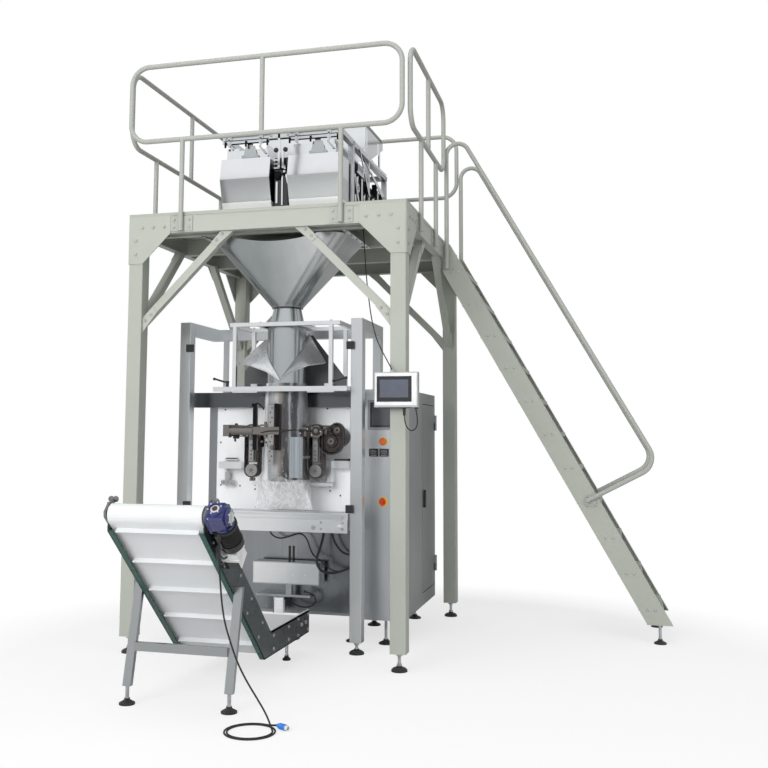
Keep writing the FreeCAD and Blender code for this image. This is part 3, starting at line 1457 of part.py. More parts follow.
def conveyor_cord():
    drop = [V(MOTOR_GLAND_X, MOTOR_GLAND_Y, MOTOR_GLAND_Z0), V(1245, -1313, 790), V(1254, -1310, 690),
            V(1262, -1306, 590), V(1276, -1299, 500), V(1300, -1289, 415), V(1334, -1274, 310),
            V(1378, -1256, 218), V(1430, -1236, 130), V(1466, -1222, 66), V(1494, -1233, 20)]
    return [cord(drop + coil_points() + [plug_start()], CORD_R)]


def cord_plug():
    start = plug_start()
    along = coil_heading()
    body = rod(start, start + along * PLUG_LONG, PLUG_R)
    cap = rod(start + along * PLUG_LONG, start + along * (PLUG_LONG + PLUG_CAP), PLUG_CAP_R)
    return [join([body, cap])]


NODES = [
    platform_columns, column_gussets, platform_beams, deck_plate, platform_braces, levelling_feet,
    guardrails, stair_stringers, stair_treads, stair_handrails,
    weigher_covers, weigher_frame, weigher_body, weigher_spine, feed_drives, feed_pans, infeed_hopper,
    discharge_funnel, funnel_spout, forming_tube, film_sleeve, film_bag, forming_collar,
    former_frame, former_table, machine_posts, machine_top_frame, machine_body, front_panel,
    front_fascia, hinge_blocks, pull_belts, belt_drives, vertical_sealer, sealer_cover,
    front_jaw, rear_jaw, jaw_guides, bag_support,
    control_cabinet, cabinet_door, door_handle, control_screen, temperature_controllers,
    stop_collar, emergency_stop, main_switch, switch_knob, weigher_screen, weigher_cables,
    conveyor_sides, conveyor_belt, conveyor_legs, gear_motor, conveyor_motor, junction_box,
    conveyor_cord, cord_plug,
]

CORD_NODES = ("weigher_cables", "conveyor_cord", "cord_plug")


def main():
    os.makedirs("parts", exist_ok=True)
    built = {}
    for maker in NODES:
        solids = []
        for shape in maker():
            solids += shape.Solids
        built[maker.__name__] = solids
        bad = [s for s in solids if not s.isValid() or s.Volume <= 0]
        print(maker.__name__, len(solids), "solids", "bad" if bad else "ok")
    standing = [s for name, solids in built.items() if name not in CORD_NODES for s in solids]
    bounds = Part.Compound(standing).BoundBox
    shift = V(-(bounds.XMin + bounds.XMax) / 2, -(bounds.YMin + bounds.YMax) / 2, -bounds.ZMin)
    print("shift", shift.x, shift.y, "size", bounds.XLength, bounds.YLength, bounds.ZLength)
    for name, solids in built.items():
        shape = Part.Compound(solids)
        shape.translate(shift)
        shape.exportStep("parts/" + name + ".step")


main()
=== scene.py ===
import bpy, bmesh, math
from mathutils import Vector, Matrix


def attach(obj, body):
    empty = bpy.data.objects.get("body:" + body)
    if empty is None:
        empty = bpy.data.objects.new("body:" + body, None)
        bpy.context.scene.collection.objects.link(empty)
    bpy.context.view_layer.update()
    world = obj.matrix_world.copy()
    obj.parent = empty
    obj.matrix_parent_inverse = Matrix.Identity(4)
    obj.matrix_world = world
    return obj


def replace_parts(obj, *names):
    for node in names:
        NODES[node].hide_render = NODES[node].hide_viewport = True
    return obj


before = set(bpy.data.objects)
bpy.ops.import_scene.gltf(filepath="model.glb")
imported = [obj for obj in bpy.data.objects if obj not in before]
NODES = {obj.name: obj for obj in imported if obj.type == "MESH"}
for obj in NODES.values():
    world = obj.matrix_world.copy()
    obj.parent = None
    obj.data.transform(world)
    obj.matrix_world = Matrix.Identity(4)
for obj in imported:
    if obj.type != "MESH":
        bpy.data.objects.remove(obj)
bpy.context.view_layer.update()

# Millimetres as in the part's source, moved to the middle of the footprint.
SHIFT_X = -1724.25
SHIFT_Y = -297.32561512376424

# Directions in the model
FRONT, BACK = (0, -1, 0), (0, 1, 0)
LEFT, RIGHT = (-1, 0, 0), (1, 0, 0)
DOWN, UP = (0, 0, -1), (0, 0, 1)


def P(x, y, z):
    """Model millimetres to scene metres."""
    return Vector(((x + SHIFT_X) / 1000, (y + SHIFT_Y) / 1000, z / 1000))


# Camera: focal length and centre are in pixels of the photo, the place is in the model
PHOTO_SIZE, SENSOR = 768.0, 36.0
FOCAL, CENTRE_X, CENTRE_Y = 966.02, 353.96, 342.55
CAMERA_PLACE = (3145.1, -5792.1, 1414.3)
YAW, PITCH, ROLL = 0.2657, 0.0955, 0.0056


def make_camera():
    data = bpy.data.cameras.new("camera")
    data.sensor_width = SENSOR
    data.lens = FOCAL * SENSOR / PHOTO_SIZE
    data.shift_x = (PHOTO_SIZE / 2 - CENTRE_X) / PHOTO_SIZE
    data.shift_y = (CENTRE_Y - PHOTO_SIZE / 2) / PHOTO_SIZE
    data.clip_end = 100.0
    data.dof.use_dof = False
    cam = bpy.data.objects.new("camera", data)
    bpy.context.scene.collection.objects.link(cam)
    ahead = Vector((-math.sin(YAW) * math.cos(PITCH), math.cos(YAW) * math.cos(PITCH), math.sin(PITCH)))
    right = Vector((math.cos(YAW), math.sin(YAW), 0))
    up = right.cross(ahead)
    side = right * math.cos(ROLL) + up * math.sin(ROLL)
    top = up * math.cos(ROLL) - right * math.sin(ROLL)
    pose = Matrix((side, top, -ahead)).transposed().to_4x4()
    pose.translation = P(*CAMERA_PLACE)
    cam.matrix_world = pose
    bpy.context.scene.camera = cam


make_camera()


# Materials
NOISE_LOW, NOISE_HIGH = 0.3, 0.7
DUST_TOP, DUST_SHARE, DUST_TONE = 0.35, 0.35, (0.42, 0.40, 0.36)
BRUSH_SCALE = 308
STEM_FOOT, THREAD_PITCH = 0.0338, 0.0022
RIB_PITCH = 0.0105
TUBE_X, TUBE_R = (962.0 + SHIFT_X) / 1000, 0.148
# Cabinet: place of its front face, and the height from which the front is painted lighter as painted light
CABINET_FRONT, CABINET_LIT_ABOVE = 0.396, 0.75
# Weigher cover: height of its crease, and top of the painted highlight band along its bottom
COVER_CREASE, COVER_HIGHLIGHT_BAND = 3.1725, 3.018


class Tree:
    """Small helper that adds and links shader nodes."""

    def __init__(self, name):
        self.mat = bpy.data.materials.new(name)
        self.mat.use_nodes = True
        self.t = self.mat.node_tree
        self.shader = self.t.nodes["Principled BSDF"]
        self.coords = self.t.nodes.new("ShaderNodeTexCoord").outputs["Object"]

    def feed(self, socket, value):
        """Links an output to a socket, or gives the socket a fixed value."""
        if hasattr(value, "links"):
            self.t.links.new(value, socket)
        else:
            socket.default_value = value

    def fill(self, n, inputs):
        for key, value in inputs.items():
            self.feed(n.inputs[key.replace("_", " ")], value)

    def node(self, kind, **inputs):
        n = self.t.nodes.new("ShaderNode" + kind)
        self.fill(n, inputs)
        return n

    def noise(self, scale, detail=3.0, rough=0.5, stretch=(1, 1, 1)):
        place = self.node("Mapping", Vector=self.coords, Scale=stretch).outputs["Vector"]
        n = self.node("TexNoise", Vector=place, Scale=scale, Detail=detail, Roughness=rough)
        return n.outputs["Fac"]

    def math(self, op, a, b=0.0, c=0.0, clamp=False):
        n = self.t.nodes.new("ShaderNodeMath")
        n.operation = op
        n.use_clamp = clamp
        for i, value in enumerate((a, b, c)):
            self.feed(n.inputs[i], value)
        return n.outputs[0]

    def past(self, value, start, gain):
        """0 up to the start, then rising by the gain to 1 at most."""
        return self.math("MULTIPLY", self.math("SUBTRACT", value, start), gain, clamp=True)

    def spread(self, fac, low, high):
        """Noise, which keeps near its middle, stretched from low to high."""
        n = self.node("MapRange", Value=fac, To_Min=low, To_Max=high, From_Min=NOISE_LOW, From_Max=NOISE_HIGH)
        return n.outputs["Result"]

    def mix(self, fac, a, b):
        n = self.t.nodes.new("ShaderNodeMix")
        n.data_type = "RGBA"
        for i, value in ((0, fac), (6, a), (7, b)):
            if isinstance(value, tuple):
                value = (*value, 1)
            self.feed(n.inputs[i], value)
        return n.outputs[2]

    def tones(self, fac, first, second):
        """Colour that follows a noise from one tone to the other."""
        return self.mix(self.spread(fac, 0, 1), first, second)

    def split(self):
        return self.node("SeparateXYZ", Vector=self.coords).outputs

    def set(self, **inputs):
        self.fill(self.shader, inputs)

    def bump(self, height, strength, distance):
        n = self.node("Bump", Height=height, Strength=strength, Distance=distance)
        self.t.links.new(n.outputs["Normal"], self.shader.inputs["Normal"])


def shade(color, k):
    return tuple(max(0.0, min(1.0, c * k)) for c in color)


def set_ramp(ramp, stops):
    """Gives a colour ramp its (place, colour) stops."""
    ramp.elements[0].position = stops[0][0]
    ramp.elements[1].position = stops[-1][0]
    for place, _ in stops[1:-1]:
        ramp.elements.new(place)
    for element, (_, tone) in zip(ramp.elements, stops):
        element.color = (*tone, 1)


def paint(name, color, rough=0.42, dirt=0.06, edge=1.12, orange=0.03):
    """Sprayed machine paint: faint clouding, orange peel, rubbed edges, dust towards the floor."""
    t = Tree(name)
    col = t.tones(t.noise(1.7, 5, 0.6), shade(color, 1 - dirt), shade(color, 1 + dirt * 0.5))
    low = t.math("MULTIPLY", t.math("SUBTRACT", DUST_TOP, t.split()[2], clamp=True), DUST_SHARE)
    col = t.mix(low, col, DUST_TONE)
    if edge > 1.0:
        point = t.node("NewGeometry").outputs["Pointiness"]
        col = t.mix(t.past(point, 0.55, 5.0), col, shade(color, edge))
    t.set(Base_Color=col, Roughness=t.spread(t.noise(9, 4), rough - 0.07, rough + 0.08),
          Specular_IOR_Level=0.45)
    t.bump(t.noise(420, 2), orange, 0.0004)
    return t.mat


def steel(name, color, rough=0.3, stretch=(1, 1, 60), grain=0.16, cloud=0.05):
    """Brushed stainless steel: fine lines along one direction and broad smoky patches."""
    t = Tree(name)
    inv = tuple(1.0 / s if s > 1 else 1.0 for s in stretch)
    lines = t.noise(BRUSH_SCALE, 4, 0.65, inv)
    brushed = t.tones(lines, shade(color, 1 - grain * 0.3), shade(color, 1 + grain * 0.2))
    smoky = t.math("MULTIPLY", t.spread(t.noise(2.3, 4, 0.55), 0, 1), cloud * 4, clamp=True)
    t.set(Base_Color=t.mix(smoky, brushed, shade(color, 0.86)), Metallic=1.0,
          Roughness=t.spread(lines, rough - 0.03, rough + 0.05))
    t.bump(lines, 0.03, 0.0002)
    return t.mat


def soft_sheet(name, color, rough=0.3, metal=0.45):
    """Satin sheet of the collar: half bright metal, half pale haze, with long soft streaks."""
    t = Tree(name)
    streak = t.noise(9, 4, 0.6, (1, 1, 0.35))
    broad = t.noise(3.5, 3, 0.5)
    tone = t.tones(streak, shade(color, 0.78), shade(color, 1.08))
    t.set(Base_Color=t.mix(t.spread(broad, 0, 0.5), tone, shade(color, 0.62)), Metallic=metal,
          Roughness=t.spread(streak, rough - 0.04, rough + 0.08))
    t.bump(broad, 0.08, 0.004)
    return t.mat


def mirror(name, color, rough=0.12, wave=0.35):
    """Polished sheet: nearly a mirror, slightly wavy, with faint polishing haze."""
    t = Tree(name)
    t.set(Base_Color=t.tones(t.noise(7, 4, 0.6), shade(color, 0.93), color), Metallic=1.0,
          Roughness=t.spread(t.noise(60, 3, 0.6, (1, 1, 0.05)), rough - 0.03, rough + 0.06))
    t.bump(t.noise(3.2, 2, 0.4), wave, 0.004)
    return t.mat


def plastic(name, color, rough=0.4, texture=260.0, bump=0.08, coat=0.0, shine=0.5):
    t = Tree(name)
    fine = t.noise(texture, 2)
    t.set(Base_Color=t.tones(t.noise(12, 3), shade(color, 0.9), shade(color, 1.06)),
          Roughness=t.spread(fine, rough - 0.06, rough + 0.08), Coat_Weight=coat, Specular_IOR_Level=shine)
    t.bump(fine, bump, 0.0003)
    return t.mat


def clear_film(name, color, alpha, rough=0.12, crease=0.5, stretch=(1, 1, 0.25)):
    """Plastic film: clear between whitish creases."""
    t = Tree(name)
    folds = t.noise(22, 5, 0.6, stretch)
    broad = t.noise(6, 3, 0.6, stretch)
    away = t.math("ABSOLUTE", t.math("MULTIPLY", t.math("SUBTRACT", folds, 0.5), 9.0), clamp=True)
    lines = t.math("POWER", t.math("SUBTRACT", 1.0, away, clamp=True), 2.0)
    haze = t.spread(broad, alpha - 0.14, alpha + 0.16)
    solid = t.math("ADD", t.math("MULTIPLY", lines, 0.3), haze, clamp=True)
    t.set(Base_Color=t.tones(broad, shade(color, 0.86), color), Roughness=rough, Alpha=solid,
          Specular_IOR_Level=0.7)
    t.bump(t.math("ADD", folds, t.math("MULTIPLY", lines, 0.4)), crease, 0.006)
    return t.mat


def deck_paint(name, color):
    """Painted tread plate: raised lens pattern on top."""
    t = Tree(name)
    x, y, _ = t.split()

    def wave(a, b):
        return t.math("SINE", t.math("MULTIPLY", t.math("ADD", a, b), 150.0))

    studs = t.math("MULTIPLY", wave(x, y), wave(x, t.math("MULTIPLY", y, -1.0)))
    cloud = t.noise(2.0, 4)
    t.set(Base_Color=t.tones(cloud, shade(color, 0.93), shade(color, 1.03)),
          Roughness=t.spread(cloud, 0.4, 0.55))
    t.bump(t.math("GREATER_THAN", studs, 0.62), 0.5, 0.0015)
    return t.mat


def feet_material(name):
    """Black rubber dome up to its collar, bright threaded stem above it."""
    t = Tree(name)
    z = t.split()[2]
    high = t.math("GREATER_THAN", z, STEM_FOOT)
    thread = t.math("SINE", t.math("MULTIPLY", z, 2 * math.pi / THREAD_PITCH))
    steel_tone = t.tones(t.noise(30, 3), (0.45, 0.46, 0.47), (0.68, 0.69, 0.70))
    rubber = t.tones(t.noise(14, 3), (0.012, 0.012, 0.013), (0.035, 0.035, 0.036))
    t.set(Base_Color=t.mix(high, rubber, steel_tone), Metallic=high,
          Roughness=t.math("SUBTRACT", 0.5, t.math("MULTIPLY", high, 0.22)))
    t.bump(t.math("MULTIPLY", thread, high), 0.5, 0.0006)
    return t.mat


def belt_material(name):
    """White conveyor belt with fine lines across it."""
    t = Tree(name)
    _, y, z = t.split()
    ribs = t.math("SINE", t.math("MULTIPLY", t.math("SUBTRACT", z, y), 2 * math.pi / RIB_PITCH))
    tone = t.tones(t.noise(3.0, 4), (0.72, 0.74, 0.75), (0.80, 0.81, 0.82))
    t.set(Base_Color=t.mix(t.math("MULTIPLY", t.math("ADD", ribs, 1.0), 0.5), (0.70, 0.72, 0.73), tone),
          Roughness=0.55, Specular_IOR_Level=0.3)
    t.bump(ribs, 0.35, 0.0008)
    return t.mat


def funnel_sheet(name):
    """Satin funnel sheet with painted shade: darker on the left half of its front, lighter to the right, with
    soft vertical streaks.
    """
    t = Tree(name)
    x = t.split()[0]
    wander = t.math("MULTIPLY", t.math("SUBTRACT", t.noise(2.6, 3), 0.5), 0.5)
    # Painted shade and light: the dark tone left of the tube's axis, the pale tone towards the right, with
    # some wander.
    across = t.math("MULTIPLY_ADD", t.math("SUBTRACT", x, TUBE_X), 2.4, 0.22)
    share = t.math("ADD", across, wander, clamp=True)
    streak = t.noise(16, 4, 0.6, (1, 1, 0.12))
    dark = t.tones(streak, (0.285, 0.31, 0.31), (0.315, 0.34, 0.34))
    pale = t.tones(streak, (0.58, 0.60, 0.605), (0.64, 0.66, 0.665))
    t.set(Base_Color=t.mix(share, dark, pale), Metallic=1.0, Roughness=0.24)
    t.bump(t.noise(4, 2, 0.4), 0.1, 0.004)
    return t.mat


def cabinet_sheet(name):
    """Brushed cabinet sheet with painted light and shade: lighter on the front and near it, more so higher
    up, darker along the side.
    """
    t = Tree(name)
    _, y, z = t.split()
    lines = t.noise(300, 4, 0.65, (1, 1, 0.02))
    # Painted light on the front, lighter from 0.75 m upwards; painted shade on the darker side behind the
    # front face.
    front = t.mix(t.past(z, CABINET_LIT_ABOVE, 0.9), (0.64, 0.66, 0.68), (0.93, 0.95, 0.97))
    side = t.tones(t.noise(1.6, 3), (0.36, 0.375, 0.385), (0.43, 0.445, 0.455))
    tone = t.mix(t.past(y, CABINET_FRONT, 9.0), front, side)
    t.set(Base_Color=t.mix(t.spread(lines, 0, 0.16), tone, (0.24, 0.25, 0.26)), Metallic=1.0,
          Roughness=t.spread(lines, 0.29, 0.36))
    t.bump(lines, 0.02, 0.0002)
    return t.mat


# Painted reflections in the polished tube under the film, from its left edge to its right.
PAINTED_REFLECTION_BANDS = (
    (0.0, (0.84, 0.85, 0.87)), (0.14, (0.92, 0.93, 0.95)), (0.22, (0.34, 0.35, 0.36)),
    (0.43, (0.40, 0.41, 0.42)), (0.49, (0.25, 0.225, 0.20)), (0.56, (0.15, 0.135, 0.12)),
    (0.62, (0.055, 0.055, 0.06)), (0.71, (0.08, 0.08, 0.085)), (0.74, (0.36, 0.37, 0.39)),
    (0.78, (0.06, 0.06, 0.065)), (0.87, (0.09, 0.09, 0.10)), (0.90, (0.40, 0.41, 0.43)),
    (1.0, (0.20, 0.20, 0.21)))


def wrapped_film(name):
    """Film drawn over the polished tube, with painted reflections: upright bands of bright, grey, tan and
    near black, and painted glints.
    """
    t = Tree(name)
    share = t.math("DIVIDE", t.math("SUBTRACT", t.split()[0], TUBE_X), TUBE_R)
    sway = t.math("MULTIPLY", t.math("SUBTRACT", t.noise(9, 4, 0.6, (1, 1, 0.3)), 0.5), 0.42)
    place = t.math("MULTIPLY_ADD", t.math("ADD", share, sway), 0.5, 0.5)
    ramp = t.t.nodes.new("ShaderNodeValToRGB")
    t.t.links.new(place, ramp.inputs[0])
    set_ramp(ramp.color_ramp, PAINTED_REFLECTION_BANDS)
    # Painted highlight: small bright glints.
    glint = t.past(t.noise(55, 5, 0.7, (1, 1, 0.12)), 0.58, 5.0)
    t.set(Base_Color=t.mix(glint, ramp.outputs[0], (0.80, 0.82, 0.84)), Metallic=0.25, Roughness=0.22,
          Specular_IOR_Level=0.6)
    t.bump(t.noise(30, 4, 0.6, (1, 1, 0.2)), 0.25, 0.003)
    return t.mat


def cover_sheet(name):
    """Polished weigher cover with painted reflections: pale above its crease, greyer below it, and a painted
    highlight band along the bottom.
    """
    t = Tree(name)
    z = t.split()[2]
    # Painted reflections: paler above the crease, greyer below it, and a bright, less metallic painted
    # highlight band at the bottom.
    band = t.math("LESS_THAN", z, COVER_HIGHLIGHT_BAND)
    upper = t.tones(t.noise(7, 4, 0.6), (0.80, 0.805, 0.82), (0.84, 0.845, 0.86))
    tone = t.mix(t.math("LESS_THAN", z, COVER_CREASE), upper, (0.60, 0.62, 0.63))
    tone = t.mix(band, tone, (0.96, 0.965, 0.97))
    t.set(Base_Color=tone, Metallic=t.math("SUBTRACT", 1.0, t.math("MULTIPLY", band, 0.6)), Roughness=0.16)
    t.bump(t.noise(3.2, 2, 0.4), 0.12, 0.004)
    return t.mat


M = {}
M["frame"] = paint("frame_paint_finish", (0.400, 0.418, 0.372))
M["rail"] = paint("rail_paint_finish", (0.400, 0.412, 0.380), 0.35, 0.03, 1.0, 0.0)
M["deck"] = deck_paint("deck_tread_plate", (0.40, 0.42, 0.37))
M["tread"] = deck_paint("stair_tread_plate", (0.38, 0.395, 0.35))
M["feet"] = feet_material("feet_finish")
M["post"] = steel("brushed_post", (0.72, 0.74, 0.75), 0.30, (1, 1, 60), 0.10)
M["brush_x"] = steel("brushed_across", (0.86, 0.875, 0.885), 0.30, (60, 1, 1), 0.10)
M["brush_z"] = steel("brushed_upright", (0.70, 0.72, 0.73), 0.30, (1, 1, 60), 0.10)
M["body"] = steel("body_sheet", (0.44, 0.455, 0.47), 0.34, (1, 1, 60), 0.10, 0.08)
M["satin"] = steel("satin_sheet", (0.50, 0.525, 0.53), 0.20, (1, 1, 12), 0.08, 0.04)
M["lower_sheet"] = mirror("lower_sheet", (0.29, 0.305, 0.315), 0.22, 0.06)
M["fascia"] = steel("fascia_sheet", (0.13, 0.137, 0.142), 0.18, (60, 1, 1), 0.16, 0.12)
M["cast"] = steel("milled_aluminium", (0.90, 0.915, 0.925), 0.36, (20, 1, 1), 0.10, 0.05)
M["dark_steel"] = steel("dark_sheet", (0.20, 0.20, 0.215), 0.26, (1, 1, 30), 0.2, 0.1)
M["collar"] = soft_sheet("collar_sheet", (0.70, 0.72, 0.735), 0.24, 0.5)
M["mirror"] = mirror("polished_sheet", (0.80, 0.81, 0.83))
M["chrome"] = mirror("chrome_plate", (0.82, 0.83, 0.84), 0.10, 0.05)
M["zinc"] = steel("zinc_bolt", (0.60, 0.60, 0.60), 0.35, (1, 1, 1), 0.2, 0.1)
M["white"] = paint("white_panel_finish", (0.95, 0.965, 0.98), 0.34, 0.03, 1.0, 0.02)
M["black"] = plastic("black_plastic_finish", (0.018, 0.018, 0.019), 0.42)
M["gloss_black"] = plastic("gloss_black_finish", (0.012, 0.012, 0.013), 0.16, 60, 0.01, 0.4)
M["rubber"] = plastic("dark_rubber_finish", (0.05, 0.05, 0.052), 0.6, 180, 0.25)
M["red"] = plastic("red_plastic_finish", (0.72, 0.05, 0.015), 0.28, 120, 0.02, 0.3)
M["orange"] = plastic("orange_plastic_finish", (0.80, 0.13, 0.015), 0.28, 120, 0.02, 0.3)
M["yellow"] = plastic("yellow_plastic_finish", (0.86, 0.56, 0.02), 0.3, 120, 0.02, 0.2)
M["green"] = paint("green_side_finish", (0.019, 0.029, 0.032), 0.24, 0.12, 1.8, 0.0)
M["green_lip"] = paint("green_lip_finish", (0.016, 0.062, 0.046), 0.28, 0.12, 1.6, 0.03)
M["belt"] = belt_material("belt_finish")
M["leg"] = steel("pale_leg", (0.40, 0.415, 0.42), 0.30, (1, 1, 40), 0.08, 0.03)
M["blue"] = plastic("blue_gearbox_finish", (0.012, 0.016, 0.125), 0.2, 120, 0.25, 0.8)
M["plug_blue"] = plastic("blue_plug_finish", (0.03, 0.22, 0.70), 0.35, 200, 0.05, 0.2)
M["grey"] = plastic("grey_plastic_finish", (0.30, 0.31, 0.32), 0.42)
M["pale"] = plastic("pale_plastic_finish", (0.70, 0.71, 0.715), 0.4)
M["case"] = steel("screen_case", (0.70, 0.71, 0.72), 0.3, (60, 1, 1), 0.06, 0.03)
M["glass"] = plastic("screen_glass_finish", (0.035, 0.040, 0.050), 0.08, 40, 0.0, 0.6)
M["cable"] = plastic("cable_finish", (0.012, 0.012, 0.013), 0.45, 300, 0.1)
M["film"] = clear_film("film_finish", (0.86, 0.88, 0.90), 0.34)
M["bag"] = clear_film("bag_finish", (0.97, 0.98, 0.99), 0.36, 0.14, 0.5, (1, 1, 0.5))
# The clear plate's tone and clearness vary in upright stripes: painted highlight stripes.
M["clear"] = clear_film("clear_plate_finish", (0.36, 0.40, 0.43), 0.55, 0.06, 0.02, (3, 1, 0.02))
# The right collar wing's darker copy of the collar sheet is painted shade.
M["collar_painted_shade"] = soft_sheet("collar_sheet_painted_shade", (0.40, 0.415, 0.425), 0.22, 0.6)
M["guide_sheet"] = paint("guide_sheet_finish", (0.105, 0.110, 0.112), 0.34, 0.25, 1.0, 0.01)
M["wrapped_film"] = wrapped_film("wrapped_film_finish")
M["crease"] = plastic("film_crease", (0.94, 0.95, 0.96), 0.3)
M["display"] = plastic("display_finish", (0.085, 0.097, 0.130), 0.14, 40, 0.0, 0.5)
M["display_dim"] = plastic("display_dim_finish", (0.085, 0.090, 0.100), 0.14, 40, 0.0, 0.5)
M["display_teal"] = plastic("display_teal_finish", (0.115, 0.135, 0.135), 0.2, 40, 0.0, 0.3)
M["case_white"] = plastic("white_case_finish", (0.84, 0.845, 0.86), 0.34)
M["worn_bracket"] = steel("worn_bracket_finish", (0.30, 0.29, 0.285), 0.4, (1, 1, 1), 0.5, 0.2)
M["rust"] = plastic("red_brown_cap", (0.075, 0.018, 0.020), 0.4)
M["clear_box"] = plastic("pale_box_finish", (0.80, 0.81, 0.815), 0.16, 90, 0.05, 0.6)
M["mech"] = steel("worn_mechanism", (0.26, 0.240, 0.225), 0.34, (20, 1, 1), 0.5, 0.22)
M["mech_dark"] = steel("dark_mechanism", (0.085, 0.075, 0.070), 0.36, (1, 1, 1), 0.4, 0.2)
M["belt_brown"] = plastic("brown_belt_finish", (0.045, 0.026, 0.024), 0.5, 180, 0.25)
M["cover"] = cover_sheet("cover_sheet_finish")
M["funnel"] = funnel_sheet("funnel_sheet_finish")
M["cabinet"] = cabinet_sheet("cabinet_sheet_finish")
M["void"] = plastic("matt_black_finish", (0.010, 0.010, 0.011), 0.75, shine=0.08)
M["pulley"] = steel("pulley_finish", (0.46, 0.455, 0.45), 0.34, (1, 1, 1), 0.3, 0.1)

LOOK = dict(
    platform_columns="frame", column_gussets="frame", platform_beams="frame", platform_braces="frame",
    stair_stringers="frame", deck_plate="deck", stair_treads="tread", levelling_feet="feet",
    guardrails="rail", stair_handrails="rail", weigher_covers="cover", weigher_frame="brush_z",
    weigher_body="void", weigher_spine="gloss_black", feed_drives="black", feed_pans="mirror",
    infeed_hopper="mirror", discharge_funnel="funnel", funnel_spout="satin", forming_tube="satin",
    film_sleeve="film", film_bag="bag", forming_collar="collar", former_frame="brush_x",
    former_table="brush_x", machine_posts="post", machine_top_frame="post", machine_body="body",
    front_panel="white", front_fascia="fascia", hinge_blocks="black", pull_belts="rubber",
    belt_drives="mech_dark", vertical_sealer="mech", sealer_cover="clear", front_jaw="cast", rear_jaw="cast",
    jaw_guides="chrome", bag_support="satin", control_cabinet="cabinet", cabinet_door="cabinet",
    door_handle="black", control_screen="glass", temperature_controllers="black", stop_collar="yellow",
    emergency_stop="orange", main_switch="yellow", switch_knob="red", weigher_screen="case",
    weigher_cables="cable", conveyor_sides="green", conveyor_belt="belt", conveyor_legs="leg",
    gear_motor="blue", conveyor_motor="black", junction_box="pale", conveyor_cord="cable",
    cord_plug="plug_blue")

for name, look in LOOK.items():
    mesh = NODES[name].data
    mesh.materials.clear()
    mesh.materials.append(M[look])


# Light and stage
FLOOR_HALF, FLOOR_Z = 30.0, -0.0005
GLOW_START, GLOW_GAIN, GLOW_LEAST = 2.4, 0.4, 0.66
SKY_LIGHT = 0.52
SKY_STEPS = ((0.0, 0.42), (0.42, 0.56), (0.52, 0.78), (0.66, 1.0), (1.0, 1.0))


def make_stage():
    mesh = bpy.data.meshes.new("floor")
    s = FLOOR_HALF
    mesh.from_pydata([(-s, -s, 0), (s, -s, 0), (s, s, 0), (-s, s, 0)], [], [(0, 1, 2, 3)])
    floor = bpy.data.objects.new("floor", mesh)
    bpy.context.scene.collection.objects.link(floor)
    floor.location.z = FLOOR_Z
    t = Tree("floor_finish")
    x, y, _ = t.split()
    dist = t.math("SQRT", t.math("ADD", t.math("POWER", x, 2.0), t.math("POWER", y, 2.0)))
    fade = t.math("ADD", t.past(dist, GLOW_START, GLOW_GAIN), GLOW_LEAST, clamp=True)
    path = t.t.nodes.new("ShaderNodeLightPath")
    seen_tone = t.mix(t.noise(0.8, 2), (0.93, 0.93, 0.93), (0.95, 0.95, 0.95))
    t.set(Base_Color=t.mix(path.outputs["Is Camera Ray"], (0.72, 0.72, 0.72), seen_tone), Roughness=0.9,
          Specular_IOR_Level=0.1)
    glow = t.node("Emission")
    glow.inputs["Strength"].default_value = 1.0
    mixer = t.t.nodes.new("ShaderNodeMixShader")
    seen = t.math("MULTIPLY", path.outputs["Is Camera Ray"], fade)
    t.t.links.new(seen, mixer.inputs[0])
    t.t.links.new(t.shader.outputs[0], mixer.inputs[1])
    t.t.links.new(glow.outputs[0], mixer.inputs[2])
    out = [n for n in t.t.nodes if n.type == "OUTPUT_MATERIAL"][0]
    t.t.links.new(mixer.outputs[0], out.inputs["Surface"])
    mesh.materials.append(t.mat)


def make_world():
    world = bpy.data.worlds.new("studio")
    bpy.context.scene.world = world
    world.use_nodes = True
    t = world.node_tree
    t.nodes.clear()
    out = t.nodes.new("ShaderNodeOutputWorld")
    path = t.nodes.new("ShaderNodeLightPath")

    def background(strength):
        n = t.nodes.new("ShaderNodeBackground")
        n.inputs[0].default_value = (1, 1, 1, 1)
        n.inputs[1].default_value = strength
        return n

    def scaled(value, scale, offset):
        n = t.nodes.new("ShaderNodeMath")
        n.operation = "MULTIPLY_ADD"
        t.links.new(value, n.inputs[0])
        n.inputs[1].default_value = scale
        n.inputs[2].default_value = offset
        return n.outputs[0]

    def choose(fac, first, second):
        n = t.nodes.new("ShaderNodeMixShader")
        for i, value in enumerate((fac, first, second)):
            t.links.new(value, n.inputs[i])
        return n.outputs[0]

    plain = background(SKY_LIGHT)
    white = background(1.0)
    glossy = background(1.0)
    coords = t.nodes.new("ShaderNodeTexCoord")
    sep = t.nodes.new("ShaderNodeSeparateXYZ")
    t.links.new(coords.outputs["Generated"], sep.inputs[0])
    ramp = t.nodes.new("ShaderNodeValToRGB")
    set_ramp(ramp.color_ramp, [(place, (k * 0.985, k, k * 1.012)) for place, k in SKY_STEPS])
    t.links.new(scaled(sep.outputs[2], 0.5, 0.5), ramp.inputs[0])
    t.links.new(ramp.outputs[0], glossy.inputs[0])
    t.links.new(scaled(sep.outputs[1], -0.22, 0.80), glossy.inputs[1])
    lit = choose(path.outputs["Is Glossy Ray"], plain.outputs[0], glossy.outputs[0])
    seen = t.nodes.new("ShaderNodeMath")
    seen.operation = "MAXIMUM"
    t.links.new(path.outputs["Is Camera Ray"], seen.inputs[0])
    t.links.new(path.outputs["Is Transmission Ray"], seen.inputs[1])
    t.links.new(choose(seen.outputs[0], lit, white.outputs[0]), out.inputs[0])


